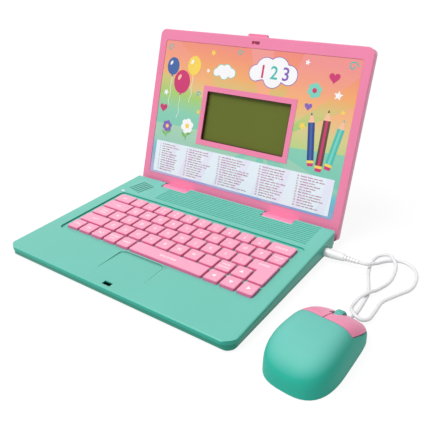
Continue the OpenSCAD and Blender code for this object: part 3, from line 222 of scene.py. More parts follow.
def metal(name, colour):
    """Plated metal with fine scratches and an uneven gloss."""
    m = moulded(name, colour, rough=0.3, grain=900, bump=0.1, vary=0.08)
    m.node_tree.nodes["Principled BSDF"].inputs["Metallic"].default_value = 1
    return m


# The darker colours given for walls here are painted shade, not a second plastic.
mint = moulded("mint_plastic", rgb(113, 198, 182), wall_shade=rgb(40, 168, 147), coat=0.05, shine=0.32)
# The lower mint is the same plastic made darker: painted shade for the less-lit lower cover.
mint_shaded_low = moulded("mint_plastic_lower_shaded", rgb(62, 172, 152), wall_shade=rgb(24, 146, 124), coat=0.05,
                   shine=0.32)
mint_mouse = moulded("mint_plastic_mouse", rgb(112, 197, 185), wall_shade=rgb(42, 177, 155), rough=0.5,
                     grain=1700, bump=0.07, shine=0.2)
pink = moulded("pink_plastic", rgb(240, 132, 171), coat=0.1)
pink_back = moulded("pink_plastic_cover", rgb(242, 132, 171), coat=0.2, grain=900, bump=0.2)
pink_key = moulded("pink_key_plastic", rgb(252, 172, 200), wall_shade=rgb(250, 122, 172), rough=0.42,
                   subsurface=0.15, grain=1900)
pink_button = moulded("pink_button_plastic", rgb(251, 150, 187), wall_shade=rgb(246, 112, 160),
                      rough=0.38, coat=0.1, shine=0.35)
white_vinyl = moulded("white_vinyl", rgb(236, 236, 238), rough=0.45, grain=2200, bump=0.1,
                      vary=0.02)
grip_white = moulded("grip_plastic", rgb(240, 240, 241), rough=0.36, vary=0.015, coat=0.2)
dark_plastic = moulded("dark_plastic", rgb(44, 47, 50), rough=0.5)
rubber = moulded("rubber", rgb(62, 64, 66), rough=0.75, grain=700, bump=0.3, speck=0.1)
membrane = moulded("silicone", rgb(214, 216, 214), rough=0.6, subsurface=0.15)
board = moulded("board_green", rgb(30, 104, 62), rough=0.4, grain=500, bump=0.2, speck=0.5)
wrap = moulded("cell_wrap", rgb(196, 198, 202), rough=0.28, coat=0.6, vary=0.08)
led_lens = moulded("led_lens", rgb(240, 242, 240), rough=0.2, coat=0.8, subsurface=0.2)
red_lens = moulded("sensor_lens", rgb(214, 110, 100), rough=0.15, coat=0.8)
steel = metal("plated_steel", rgb(200, 202, 206))
legend = printed("legend_white", rgb(255, 252, 253), rough=0.45, wear=0.02)


def display_material():
    """An unlit olive display: a fine dot grid under a clear cover."""
    m = moulded("display_olive", rgb(102, 112, 44), rough=0.4, grain=300, bump=0.02, vary=0.04,
                shine=0.15)
    nt = m.node_tree
    base = nt.nodes["Principled BSDF"].inputs["Base Color"]
    turned = add(nt, "Mapping")
    turned.inputs["Rotation"].default_value = (-LID_TILT, 0, 0)
    feed(nt, turned.inputs["Vector"], add(nt, "TexCoord").outputs["Object"])
    grid = add(nt, "TexBrick", offset=0)
    for label, value in (("Vector", turned.outputs["Vector"]), ("Scale", 400),
                         ("Mortar Size", 0.03), ("Brick Width", 0.5), ("Row Height", 0.5),
                         ("Color1", (1, 1, 1, 1)), ("Color2", (0.985, 0.985, 0.985, 1)),
                         ("Mortar", (0.92, 0.92, 0.92, 1))):
        feed(nt, grid.inputs[label], value)
    under = base.links[0].from_socket
    feed(nt, base, mixed(nt, 1, under, grid.outputs["Color"], "MULTIPLY"))
    return m


olive = display_material()
# Painted shade: the latch hook is coloured dark red for the shade inside its slot in the lid.
hook_dark_shade = moulded("hook_painted_shade", rgb(150, 24, 70), rough=0.5)

# ---------------------------------------------------------------- what each CAD node wears

WEAR = {
    "base_top_cover": mint, "base_bottom_cover": mint_shaded_low, "battery_door": mint_shaded_low,
    "battery_cells": wrap, "battery_contacts": steel, "base_screws": steel, "rubber_feet": rubber,
    "main_circuit_board": board, "mouse_socket": dark_plastic, "speaker": dark_plastic,
    "power_led": led_lens, "key_membrane": membrane, "key_circuit_board": board,
    "hinge_pins": steel, "lid_front_frame": pink, "lid_back_cover": pink_back,
    "lid_screws": steel, "lcd_glass": olive, "lcd_circuit_board": board, "latch_tab": pink,
    "latch_hook": hook_dark_shade, "latch_spring": steel, "mouse_top_shell": mint_mouse,
    "mouse_bottom_shell": mint_mouse, "mouse_left_button": pink_button,
    "mouse_right_button": pink_button, "scroll_wheel": mint_mouse, "wheel_axle": steel,
    "mouse_circuit_board": board, "mouse_lens": red_lens, "mouse_glides": dark_plastic,
    "mouse_screw": steel, "mouse_grommet": white_vinyl, "plug_grip": grip_white,
    "plug_pin": steel, "plug_relief": grip_white,
}

SHEET_LEFT, SHEET_RIGHT, SHEET_LOW, SHEET_HIGH = -131.5, 132.5, 16.6, 190.2
BAND_SLANT = 0.06  # how much the bands slant across the sheet
BANDS = [(0.0, (160, 160, 220)), (0.05, (120, 162, 214)), (0.11, (60, 168, 208)),
         (0.175, (20, 184, 212)), (0.225, (116, 200, 182)), (0.38, (134, 206, 178)),
         (0.50, (164, 206, 112)), (0.62, (208, 198, 122)), (0.74, (244, 168, 100)),
         (0.86, (243, 146, 112)), (1.0, (240, 126, 132))]
RAY_FROM, RAY_FULL = 0.22, 0.45  # where rays start and are full, as shares of the sheet's height
RAY_SHIFT, RAY_WASH, RAY_PALE = 0.15, 0.22, (252, 226, 190)


def print_ground():
    """The sheet's ground: soft bands of colour up the sheet. A face's "ray" value, of -0.5 to 0.5,
    shifts its bands above the list and washes it paler."""
    m = moulded("print_ground", rgb(240, 150, 120), rough=0.34, grain=2600, bump=0.04, vary=0.02,
                coat=0.25)
    nt = m.node_tree
    apart = add(nt, "SeparateXYZ")
    feed(nt, apart.inputs["Vector"], add(nt, "TexCoord").outputs["Object"])
    level = computed(nt, "MULTIPLY_ADD", apart.outputs["X"], BAND_SLANT, apart.outputs["Z"])
    low, high = ((LID @ Vector((0, v, 0))).z + BAND_SLANT * origin.x
                 for v in (SHEET_LOW, SHEET_HIGH))
    height = ranged(nt, level, low, high)
    ray = add(nt, "Attribute", attribute_name="ray").outputs["Fac"]
    swing = computed(nt, "MULTIPLY", ray, ranged(nt, height, RAY_FROM, RAY_FULL))
    ramp = add(nt, "ValToRGB")
    stops = ramp.color_ramp.elements
    while len(stops) < len(BANDS):
        stops.new(0.5)
    for stop, (at, colour) in zip(stops, BANDS):
        stop.position = at
        stop.color = rgb(*colour)
    feed(nt, ramp.inputs["Fac"], computed(nt, "MULTIPLY_ADD", swing, RAY_SHIFT, height))
    wash = ranged(nt, ray, -0.5, 0.5, 0, RAY_WASH)
    feed(nt, nt.nodes["Principled BSDF"].inputs["Base Color"],
         mixed(nt, wash, ramp.outputs["Color"], rgb(*RAY_PALE)))
    return m


ground = WEAR["print_panel"] = print_ground()
WELD_REACH, SHARP_ANGLE = 0.000002, 32  # metres, degrees
for name, node in nodes.items():
    material = WEAR.get(name, pink_key if name.startswith("key") else None)
    if material is None:
        continue
    if not node.material_slots:
        node.data.materials.append(material)
    for place_slot in node.material_slots:
        place_slot.link = "OBJECT"
        place_slot.material = material
    for face in node.data.polygons:
        face.use_smooth = True
    weld = node.modifiers.new("weld", "WELD")
    weld.merge_threshold = WELD_REACH
    split = node.modifiers.new("edges", "EDGE_SPLIT")
    split.split_angle = math.radians(SHARP_ANGLE)

# ---------------------------------------------------------------- latch spring

# The latch spring as its own copy of the mesh, riding the lid, all in metres.
spring_mesh = nodes["latch_spring"].data.copy()
spring_mesh.materials.clear()
spring_mesh.materials.append(steel)
coil = show(bpy.data.objects.new("latch_spring_coil", spring_mesh))
coil.matrix_world = nodes["latch_spring"].matrix_world.copy()
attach(coil, "lid")
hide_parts("latch_spring")
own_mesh(coil)

# ---------------------------------------------------------------- mouse cord

CORD_D = 3.4
LAY, OVER = 1.9, 5.9  # height of the middle line on the table, and where it crosses itself


def from_mouse(x, y, z):
    """A point on the table from one on the mouse."""
    return (MOUSE_X + x * cm - y * sm, MOUSE_Y + x * sm + y * cm, z)


route = [(178.9, 180, 9.2), (186, 181.5, 8.6), (190, 186.5, 7.6), (194, 195, 5.4), (197, 205, 3.2),
         (202, 213, LAY), (213, 218, LAY), (225, 212, LAY), (233, 196, LAY), (234, 174, LAY),
         (226, 156, LAY), (218, 138, LAY), (217.2, 120, LAY), (217, 105, LAY + 1.6),
         (213.5, 97.5, OVER - 0.4), (207.5, 97.6, OVER + 1), (202, 102.5, OVER + 1),
         (198.7, 111, OVER - 2), (197.7, 119, LAY + 0.8), (199.5, 129, OVER - 1.2),
         (204.2, 139.5, OVER), (208.5, 153, LAY + 1.2), (213.4, 176, LAY), (211, 200, LAY + 1.6),
         (206, 209, OVER), (200, 216, OVER), (193, 219, LAY + 1.4), (187.5, 213, LAY),
         (186.5, 197, LAY), (190.5, 178, LAY), (195.5, 164, LAY), (199.6, 153, LAY),
         (202.6, 143.5, LAY), (203.6, 133.5, LAY), (204.2, 122, LAY), (204.4, 107, LAY + 0.1),
         from_mouse(0, 56.4, 4.0), from_mouse(0, 52.4, 4.6)]
route = [Vector(p) for p in route]


def smooth_line(points, first, last, steps):
    """A Catmull-Rom line through the points, which leaves and ends along the given directions."""
    padded = [points[0] - first] + points + [points[-1] + last]
    line = []
    for i in range(1, len(padded) - 2):
        a, b, c, d = padded[i - 1:i + 3]
        for k in range(steps):
            t = k / steps
            line.append(0.5 * ((2 * b) + (c - a) * t + (2 * a - 5 * b + 4 * c - d) * t * t
                               + (3 * b - a - 3 * c + d) * t ** 3))
    return line + [points[-1]]


leave = Vector((1, 0, 0)) * (route[1] - route[0]).length
enter = Vector((sm, -cm, 0)) * (route[-1] - route[-2]).length
centre = smooth_line(route, leave, enter, 6)
cord_length = sum((b - a).length for a, b in zip(centre, centre[1:]))
cord_data = bpy.data.curves.new("cord_line", "CURVE")
cord_data.dimensions = "3D"
cord_data.bevel_depth = CORD_D / 2 * MM
cord_data.bevel_resolution = 5
cord_data.use_fill_caps = True
spline = cord_data.splines.new("POLY")
spline.points.add(len(centre) - 1)
for point, at in zip(spline.points, centre):
    point.co = (*P(*at), 1)
spline.use_smooth = True
cord_data.materials.append(white_vinyl)
cord = show(bpy.data.objects.new("mouse_cord_tube", cord_data))
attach(cord, "base")
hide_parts("mouse_cord")
tuple(P(*centre[0]))

# ---------------------------------------------------------------- flat printed pieces


class Print:
    """Thin flat shapes in millimetres on one surface, gathered into one mesh."""

    def __init__(self, name, surface, body, slot):
        self.name, self.surface, self.body, self.slot = name, surface, body, slot
        self.points, self.faces, self.inks, self.rays = [], [], [], []
        self.materials = []

    def ink(self, material):
        """The material's index in the mesh."""
        if material not in self.materials:
            self.materials.append(material)
        return self.materials.index(material)

    def shape(self, outline, lift, material, ray=0.0):
        """One flat face at a height over the surface."""
        start = len(self.points)
        self.points += [(x, y, lift) for x, y in outline]
        self.faces.append(list(range(start, start + len(outline))))
        self.inks.append(self.ink(material))
        self.rays.append(ray)

    def box(self, x0, y0, x1, y1, lift, material, r=0.0):
        """A rectangle, with round corners where r is given."""
        self.shape(rounded(x0, y0, x1, y1, r), lift, material)

    def words(self, text, size, x, y, lift, material, wide=1.0):
        """Plain letters from the built-in font, as flat faces."""
        start = len(self.points)
        verts, faces = letters(text)
        self.points += [(x + vx * size * wide, y + vy * size, lift) for vx, vy in verts]
        for face in faces:
            self.faces.append([start + i for i in face])
            self.inks.append(self.ink(material))
            self.rays.append(0.0)

    def make(self):
        """The mesh, with every face turned outwards, on its body."""
        mesh = bpy.data.meshes.new(self.name)
        mesh.from_pydata([self.surface @ Vector(p) for p in self.points], [], self.faces)
        for material in self.materials:
            mesh.materials.append(material)
        for face, ink in zip(mesh.polygons, self.inks):
            face.material_index = ink
        tint = mesh.attributes.new("ray", "FLOAT", "FACE")
        tint.data.foreach_set("value", self.rays)
        up = self.surface.to_3x3() @ Vector((0, 0, 1))
        bm = bmesh.new()
        bm.from_mesh(mesh)
        bm.normal_update()
        back = [f for f in bm.faces if f.normal.dot(up) < 0]
        bmesh.ops.reverse_faces(bm, faces=back)
        bm.to_mesh(mesh)
        bm.free()
        piece = show(bpy.data.objects.new(self.name, mesh))
        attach(piece, self.body)


known_words = {}


def letters(text):
    """Flat faces of a line of text of size 1, centred on the origin."""
    if text not in known_words:
        line = bpy.data.curves.new("line", "FONT")
        line.body = text
        line.align_x = "CENTER"
        line.resolution_u = 3
        line.offset = 0.012
        piece = show(bpy.data.objects.new("line", line))
        bpy.context.view_layer.update()
        flat = piece.to_mesh()
        verts = [(v.co.x, v.co.y - 0.35) for v in flat.vertices]
        faces = [list(f.vertices) for f in flat.polygons]
        piece.to_mesh_clear()
        bpy.data.objects.remove(piece)
        bpy.data.curves.remove(line)
        known_words[text] = (verts, faces)
    return known_words[text]


def rounded(x0, y0, x1, y1, r, steps=5):
    """A rectangle with round corners."""
    if r <= 0:
        return [(x0, y0), (x1, y0), (x1, y1), (x0, y1)]
    outline = []
    for cx, cy, a in ((x1 - r, y0 + r, -90), (x1 - r, y1 - r, 0), (x0 + r, y1 - r, 90),
                      (x0 + r, y0 + r, 180)):
        for k in range(steps + 1):
            t = math.radians(a + 90 * k / steps)
            outline.append((cx + r * math.cos(t), cy + r * math.sin(t)))
    return outline


def disc(cx, cy, rx, ry, n, turn=0.0):
    """A disc or oval of n sides."""
    c, s = math.cos(turn), math.sin(turn)
    outline = []
    for k in range(n):
        t = 2 * math.pi * k / n
        x, y = rx * math.cos(t), ry * math.sin(t)
        outline.append((cx + x * c - y * s, cy + x * s + y * c))
    return outline


def star(cx, cy, r, turn):
    """A five-pointed star."""
    outline = []
    for k in range(10):
        far, t = r * (0.45 if k % 2 else 1), turn + math.pi * k / 5
        outline.append((cx + far * math.sin(t), cy + far * math.cos(t)))
    return outline


def heart(cx, cy, r, n=36):
    """A heart of n sides."""
    outline = []
    for k in range(n):
        t = 2 * math.pi * k / n
        outline.append((cx + r * math.sin(t) ** 3,
                        cy + r * (13 * math.cos(t) - 5 * math.cos(2 * t) - 2 * math.cos(3 * t)
                                  - math.cos(4 * t)) / 16))
    return outline


def ribbon(points, width):
    """A line of even width through points, as one strip."""
    left, right = [], []
    for i, (x, y) in enumerate(points):
        x0, y0 = points[max(i - 1, 0)]
        x1, y1 = points[min(i + 1, len(points) - 1)]
        size = math.hypot(x1 - x0, y1 - y0) or 1
        nx, ny = -(y1 - y0) / size * width / 2, (x1 - x0) / size * width / 2
        left.append((x + nx, y + ny))
        right.append((x - nx, y - ny))
    return left + right[::-1]


# ---------------------------------------------------------------- key legends

KEY_LEFT, KEY_PITCH, KEY_FRONT, KEY_ROW = -119.2, 18.8, 60.0, 18.6
LEGEND_LIFT = 1.54
LETTER, DIGIT, MARK, WORD, LINE = 5.6, 4.8, 4.0, 3.9, 3.5  # sizes of type
WORD_WIDE, LINE_RISE, MARK_RISE, ARROW_R = 1.05, 2.3, 3.1, 2.7


def key_mid(k0, row, w):
    """The middle of a cap that starts k0 pitches from the left in a row."""
    return KEY_LEFT + (k0 + w / 2) * KEY_PITCH, KEY_FRONT + (row + 0.5) * KEY_ROW


def key_print(node, marks):
    """marks: (k0, row, width, kind, what) for each cap of the node."""
    sheet = Print(node + "_legend", DECK, node + "_body", "key_moulding")
    for k0, row, w, kind, what in marks:
        x, y = key_mid(k0, row, w)
        if kind == "letter":
            sheet.words(what, LETTER, x, y, LEGEND_LIFT, legend)
        elif kind == "pair":
            sheet.words(what[0], DIGIT, x, y - LINE_RISE, LEGEND_LIFT, legend)
            sheet.words(what[1], MARK, x, y + MARK_RISE, LEGEND_LIFT, legend)
        elif kind == "word":
            sheet.words(what, WORD, x, y, LEGEND_LIFT, legend, wide=WORD_WIDE)
        elif kind == "lines":
            sheet.words(what[0], LINE, x, y + LINE_RISE, LEGEND_LIFT, legend, wide=WORD_WIDE)
            sheet.words(what[1], LINE, x, y - LINE_RISE, LEGEND_LIFT, legend, wide=WORD_WIDE)
        elif kind == "arrow":
            t = math.radians(what)
            sheet.shape([(x + ARROW_R * math.cos(t + a), y + ARROW_R * math.sin(t + a))
                         for a in (0, 2 * math.pi / 3, -2 * math.pi / 3)], LEGEND_LIFT, legend)
    sheet.make()


key_print("key_escape", [(0, 4, 1.4, "word", "ESC")])
key_print("key_delete", [(11.4, 4, 1.6, "word", "DELETE")])
key_print("key_tab", [(0, 3, 2, "word", "TAB")])
key_print("key_caps_lock", [(0, 2, 1.4, "lines", ("CAPS", "LOCK"))])
key_print("key_shift", [(0, 1, 2, "word", "SHIFT")])
key_print("key_enter", [(11.4, 2.1, 1.6, "word", "ENTER")])
key_print("key_space_bar", [(5, 0, 5, "word", "SPACE BAR")])
key_print("key_arrow_up", [(11, 1, 1, "arrow", 90)])
key_print("key_arrow_left", [(10, 0, 1, "arrow", 180)])
key_print("key_arrow_down", [(11, 0, 1, "arrow", -90)])
key_print("key_arrow_right", [(12, 0, 1, "arrow", 0)])
key_print("keys_number_row", [(1.4 + i, 4, 1, "pair", (digit, mark))
                              for i, (digit, mark) in enumerate(zip("1234567890", "!\"#$%&/()="))])
key_print("keys_upper_row", [(2 + i, 3, 1, "letter", c) for i, c in enumerate("QWERTYUIOP")]
          + [(12, 3, 1, "lines", ("PAGE", "UP"))])
key_print("keys_middle_row", [(1.4 + i, 2, 1, "letter", c) for i, c in enumerate("ASDFGHJKL;")])
key_print("keys_lower_row", [(2 + i, 1, 1, "letter", c) for i, c in enumerate("ZXCVBNM,")]
          + [(10, 1, 1, "lines", ("PAGE", "DOWN"))])
key_print("keys_front_row", [(0, 0, 1, "word", "CTRL"), (1, 0, 1, "word", "FN"),
                             (2, 0, 1, "word", "ALT"), (3, 0, 1, "lines", ("SOUND", "ON")),
                             (4, 0, 1, "word", "HELP")])

# ---------------------------------------------------------------- picture sheet

HOLE_LEFT, HOLE_RIGHT, HOLE_LOW, HOLE_HIGH = -62.6, 66.2, 66.5, 139.9
RAY_LIFT, LIST_LIFT, SHADE_LIFT, TEXT_LIFT, MOTIF_LIFT = -0.46, -0.42, -0.405, -0.38, -0.38
rng = random.Random(7)


def clip(polygon, inside, cross):
    """The part of a convex polygon on one side of a line."""
    out = []
    for i, p in enumerate(polygon):
        q = polygon[(i + 1) % len(polygon)]
        if inside(p):
            out.append(p)
        if inside(p) != inside(q):
            out.append(cross(p, q))
    return out


def clip_box(polygon, x0, y0, x1, y1):
    """The part of a convex polygon inside a rectangle."""
    for axis, bound, sign in ((0, x0, 1), (0, x1, -1), (1, y0, 1), (1, y1, -1)):
        def inside(p):
            return (p[axis] - bound) * sign >= 0

        def cross(p, q):
            t = (bound - p[axis]) / (q[axis] - p[axis])
            return (p[0] + (q[0] - p[0]) * t, p[1] + (q[1] - p[1]) * t)
        polygon = clip(polygon, inside, cross)
        if not polygon:
            return []
    return polygon


rays = Print("print_rays", LID, "lid", "printed_sheet")
MARGIN = 0.4

# The ground's rays fan out from a point behind the display and leave its window free.
FAN_X, FAN_Y, FAN_RAYS, FAN_REACH = 34, 84, 16, 400
left, right = SHEET_LEFT + MARGIN, SHEET_RIGHT - MARGIN
bottom, top = SHEET_LOW + MARGIN, SHEET_HIGH - MARGIN
turns = [0.05 + (k + 0.28 * math.sin(2.3 * k)) * 2 * math.pi / FAN_RAYS for k in range(FAN_RAYS)]
turns.append(turns[0] + 2 * math.pi)
for k, (a0, a1) in enumerate(zip(turns, turns[1:])):
    wedge = [(FAN_X, FAN_Y)] + [(FAN_X + FAN_REACH * math.cos(a), FAN_Y + FAN_REACH * math.sin(a))
                                for a in (a0, (a0 + a1) / 2, a1)]
    tint = (0.45, -0.34, 0.15, -0.48)[k % 4] + rng.uniform(-0.05, 0.05)
    for area in ((left, bottom, HOLE_LEFT, top), (HOLE_RIGHT, bottom, right, top),
                 (HOLE_LEFT, bottom, HOLE_RIGHT, HOLE_LOW),
                 (HOLE_LEFT, HOLE_HIGH, HOLE_RIGHT, top)):
        part = clip_box(wedge, *area)
        if len(part) > 2:
            rays.shape(part, RAY_LIFT, ground, ray=tint)
rays.make()

ink_white = printed("ink_white", rgb(250, 250, 252), wear=0.01)
ink_list = printed("ink_list_ground", rgb(234, 243, 252), rough=0.36, wear=0.02)
ink_lilac = printed("ink_lilac", rgb(233, 234, 250), rough=0.36, wear=0.03)
ink_red = printed("ink_list_red", rgb(158, 44, 92))
ink_magenta = printed("ink_magenta", rgb(205, 48, 112))
ink_purple = printed("ink_purple", rgb(132, 96, 186))
ink_teal = printed("ink_teal", rgb(70, 190, 180))
ink_aqua = printed("ink_aqua", rgb(122, 212, 190))
ink_blue = printed("ink_blue", rgb(60, 98, 165))
ink_yellow = printed("ink_yellow", rgb(250, 214, 90))
ink_green = printed("ink_green", rgb(120, 186, 84))
ink_peach = printed("ink_peach", rgb(250, 196, 160))
ink_brown = printed("ink_brown", rgb(92, 60, 48))
ink_navy = printed("ink_navy", rgb(38, 62, 132))

# Five columns of numbered lines below the display. The words are bars of letter height.
LIST_LEFT, LIST_RIGHT, LIST_LOW, LIST_HIGH = -125.5, 126.5, 19.5, 60.5
COLUMNS = ((-120.0, 27.0), (-76.0, 33.0), (-26.0, 42.0), (32.0, 35.0), (82.0, 30.0))
LINES, LINE_PITCH, FIRST_LINE = 12, 3.05, LIST_HIGH - 3.6
BAR, BAR_PITCH, BAR_LOW, BAR_TALL = 0.7, 0.92, 0.9, 1.25
NUMBER_SIZE, NUMBER_IN, TEXT_IN, TEXT_DROP, WORD_GAP = 2.5, 1.6, 5.0, 0.6, 0.9
STRIPES, STRIPE_FIRST, STRIPE_PITCH = 9, 12, 28
STRIPE_FOOT, STRIPE_HEAD, STRIPE_LEAN, LEAN_LOSS = 11, 9, 17, 1.2
listing = Print("print_list", LID, "lid", "printed_sheet")
listing.box(LIST_LEFT, LIST_LOW, LIST_RIGHT, LIST_HIGH, LIST_LIFT, ink_list, r=0.8)
low, high = LIST_LOW + 0.4, LIST_HIGH - 0.4
for k in range(STRIPES):
    x = LIST_LEFT + STRIPE_FIRST + STRIPE_PITCH * k
    head = x + STRIPE_LEAN - LEAN_LOSS * k
    listing.shape([(x, low), (x + STRIPE_FOOT, low), (head + STRIPE_HEAD, high), (head, high)],
                  SHADE_LIFT, ink_lilac)
number = 1
for x, wide in COLUMNS:
    for line in range(LINES):
        y = FIRST_LINE - LINE_PITCH * line
        listing.words(str(number), NUMBER_SIZE, x + NUMBER_IN, y, TEXT_LIFT, ink_red)
        at = x + TEXT_IN
        end = at + wide * rng.uniform(0.45, 1.0)
        foot = y - TEXT_DROP
        while at < end:
            for _ in range(rng.randint(3, 9)):
                tall = BAR_TALL if rng.random() < 0.3 else BAR_LOW
                listing.box(at, foot, at + BAR, foot + tall, TEXT_LIFT, ink_red)
                at += BAR_PITCH
            at += WORD_GAP
        number += 1
listing.make()

# Motifs of no particular design: balloons, flowers, clouds, numbers, pencils, stars, hearts, curls.
art = Print("print_motifs", LID, "lid", "printed_sheet")


def union_outline(x, y, blobs, n=120):
    """The outline of discs that overlap round a middle point."""
    outline = []
    for k in range(n):
        t = 2 * math.pi * k / n
        ux, uy = math.cos(t), math.sin(t)
        far = 0
        for bx, by, r in blobs:
            along, off = bx * ux + by * uy, bx * uy - by * ux
            if abs(off) < r:
                far = max(far, along + math.sqrt(r * r - off * off))
        outline.append((x + far * ux, y + far * uy))
    return outline


def balloon(x, y, r, colour, shine, tail, lift):
    """A balloon with a knot, a gleam and a string of so many steps."""
    tall = r * 1.18
    neck = y - tall
    line = [(x + 1.6 * math.sin(k * 0.8) * k / tail, neck - 1.6 - k * 2.2) for k in range(tail + 1)]
    art.shape(ribbon(line, 0.6), lift - 0.01, ink_white)
    art.shape([(x - 1.8, neck - 1.9), (x + 1.8, neck - 1.9), (x, neck + 0.9)], lift, colour)
    art.shape(disc(x, y, r, tall, n=40), lift + 0.01, colour)
    art.shape(disc(x - r * 0.36, y + r * 0.42, r * 0.17, r * 0.32, n=18, turn=-0.5), lift + 0.02,
              shine)


def cloud(x, y, s, fill, rim, lift):
    """Five puffs with a rim."""
    blobs = [(-15, -0.5, 6.0), (-7, 3.4, 8.4), (3.6, 4.2, 8.8), (13, 0.6, 7.2), (0, -2.2, 8.0)]
    for grow, ink, up in ((0.8, rim, 0), (0, fill, 0.015)):
        art.shape(union_outline(x, y, [(bx * s, by * s, r * s + grow) for bx, by, r in blobs]),
                  lift + up, ink)


def flower(x, y, r, petal, heart_colour, stem, lift):
    """Six petals, with two leaves where there is a stem."""
    if stem:
        art.shape(ribbon([(x, y), (x + 1.0, y - stem / 2), (x - 0.5, y - stem)], 1.3), lift - 0.02,
                  ink_green)
        for side, at, turn in ((1, 0.5, 0.6), (-1, 0.66, 2.5)):
            art.shape(disc(x + 4.0 * side, y - stem * at, 4.2, 1.6, n=18, turn=turn),
                      lift - 0.01 + 0.002 * side, ink_green)
    petals = [(r * 0.6 * math.cos(k * math.pi / 3 + 0.3), r * 0.6 * math.sin(k * math.pi / 3 + 0.3),
               r * 0.42) for k in range(6)]
    art.shape(union_outline(x, y, petals), lift, petal)
    art.shape(disc(x, y, r * 0.33, r * 0.33, n=20), lift + 0.015, heart_colour)


def pencil(x, y, tall, wide, turn, body, band, lift):
    """A pencil that points up: a barrel with a band, a wooden cone, a tip, a ferrule, an eraser."""
    c, s = math.cos(turn), math.sin(turn)

    def at(px, py):
        return (x + px * c - py * s, y + px * s + py * c)
    w = wide / 2
    art.shape([at(-w, 0), at(w, 0), at(w, tall), at(-w, tall)], lift, body)
    art.shape([at(-w / 3, 0), at(w / 3, 0), at(w / 3, tall), at(-w / 3, tall)], lift + 0.01, band)
    art.shape([at(-w, tall), at(w, tall), at(w * 0.3, tall + wide), at(-w * 0.3, tall + wide)],
              lift + 0.01, ink_peach)
    art.shape([at(-w * 0.3, tall + wide), at(w * 0.3, tall + wide), at(0, tall + wide * 1.4)],
              lift + 0.02, body)
    art.shape([at(-w, 0), at(-w, -3), at(w, -3), at(w, 0)], lift + 0.01, ink_yellow)
    art.shape([at(-w, -3), at(-w * 0.8, -6.5), at(w * 0.8, -6.5), at(w, -3)], lift + 0.01,
              ink_magenta)


balloon(-98, 140, 12.5, ink_magenta, ink_peach, 14, -0.30)
balloon(-115, 158, 9.5, ink_blue, ink_white, 17, -0.40)
balloon(-82, 162, 10.0, ink_yellow, ink_white, 15, -0.36)
flower(-112, 81, 7.5, ink_purple, ink_yellow, 14, -0.38)
flower(-80, 86, 9.5, ink_white, ink_yellow, 18, -0.34)
cloud(30, 163.5, 1.5, ink_white, ink_purple, -0.40)
for mark, x, ink in (("1", 16, ink_magenta), ("2", 31, ink_teal), ("3", 46, ink_purple)):
    art.words(mark, 21, x, 165.5, -0.36, ink)
cloud(-36, 158, 0.75, ink_white, ink_aqua, -0.40)
pencil(94, 76, 42, 8.0, 0.16, ink_navy, ink_blue, -0.40)
pencil(105, 72, 50, 8.6, 0.0, ink_brown, ink_magenta, -0.36)
pencil(116, 76, 40, 8.0, -0.16, ink_teal, ink_aqua, -0.32)
flower(84, 152, 8.5, ink_aqua, ink_magenta, 0, -0.38)
for x, y, r, turn, ink in ((-56, 180, 4.4, 0.4, ink_yellow), (70, 181, 3.6, 0.2, ink_white),
                           (-121, 124, 4.6, 0.3, ink_white), (77, 112, 5.0, 0.5, ink_yellow),
                           (112, 150, 5.6, 0.1, ink_white), (-60, 158, 3.0, 0.6, ink_white),
                           (-66, 106, 3.4, 0.2, ink_yellow), (121, 133, 3.4, 0.0, ink_yellow)):
    art.shape(star(x, y, r, turn), MOTIF_LIFT, ink)
for x, y, r, ink in ((-122, 104, 6.0, ink_magenta), (104, 168, 6.4, ink_magenta),
                     (80, 134, 4.6, ink_purple)):
    art.shape(heart(x, y, r), MOTIF_LIFT, ink)
for cx, cy, r in ((-18, 183, 3.6), (122, 182, 5.4), (-123, 181, 4.4), (-70, 128, 3.4)):
    curl = [(cx + r * (1 - k / 26) * math.cos(k * 0.34), cy + r * (1 - k / 26) * math.sin(k * 0.34))
            for k in range(20)]
    art.shape(ribbon(curl, 1.3), MOTIF_LIFT, ink_teal)
art.make()

# ---------------------------------------------------------------- painted shade and highlight along the touch area's edge on the deck

touch_edge_shade = printed("groove_shade", rgb(66, 160, 141), rough=0.5)
touch_edge_highlight = printed("touch_edge_highlight", rgb(158, 218, 205), rough=0.5)
touch = Print("touch_edge_shade_and_highlight", DECK, "base", "base_moulding")
TOUCH_LEFT, TOUCH_RIGHT, TOUCH_LOW, TOUCH_HIGH, TOUCH_R = -28.5, 28.5, 19.0, 57.0, 6.0
TOUCH_LIFT, TOUCH_OPEN = 0.03, 4
FADE_LENGTH, FADE_LEAST = 26, 0.15  # the line thins towards its open, lower end
# A dark line of painted shade runs along the edge, with a pale line of painted highlight just
# outside it.
for grow, width, ink in ((0.3, 1.0, touch_edge_shade), (1.15, 0.6, touch_edge_highlight)):
    x0, x1, y1, r = TOUCH_LEFT - grow, TOUCH_RIGHT + grow, TOUCH_HIGH + grow, TOUCH_R + grow
    y0 = TOUCH_LOW + TOUCH_OPEN
    side = y1 - r - y0
    path = [(x0, y0 + 0.1 * k * side) for k in range(11)]
    path += [(x0 + r - r * math.cos(t), y1 - r + r * math.sin(t))
             for t in (math.pi / 2 * k / 8 for k in range(1, 9))]
    path += [(x1 - r + r * math.sin(t), y1 - r + r * math.cos(t))
             for t in (math.pi / 2 * k / 8 for k in range(9))]
    path += [(x1, y1 - r - 0.1 * k * side) for k in range(1, 11)]
    for a, b in zip(path, path[1:]):
        fade = min(1, max(FADE_LEAST, (min(a[1], b[1]) - TOUCH_LOW) / FADE_LENGTH))
        touch.shape(ribbon([a, b], width * fade), TOUCH_LIFT, ink)
touch.make()

# ---------------------------------------------------------------- painted shade on the display recess's walls

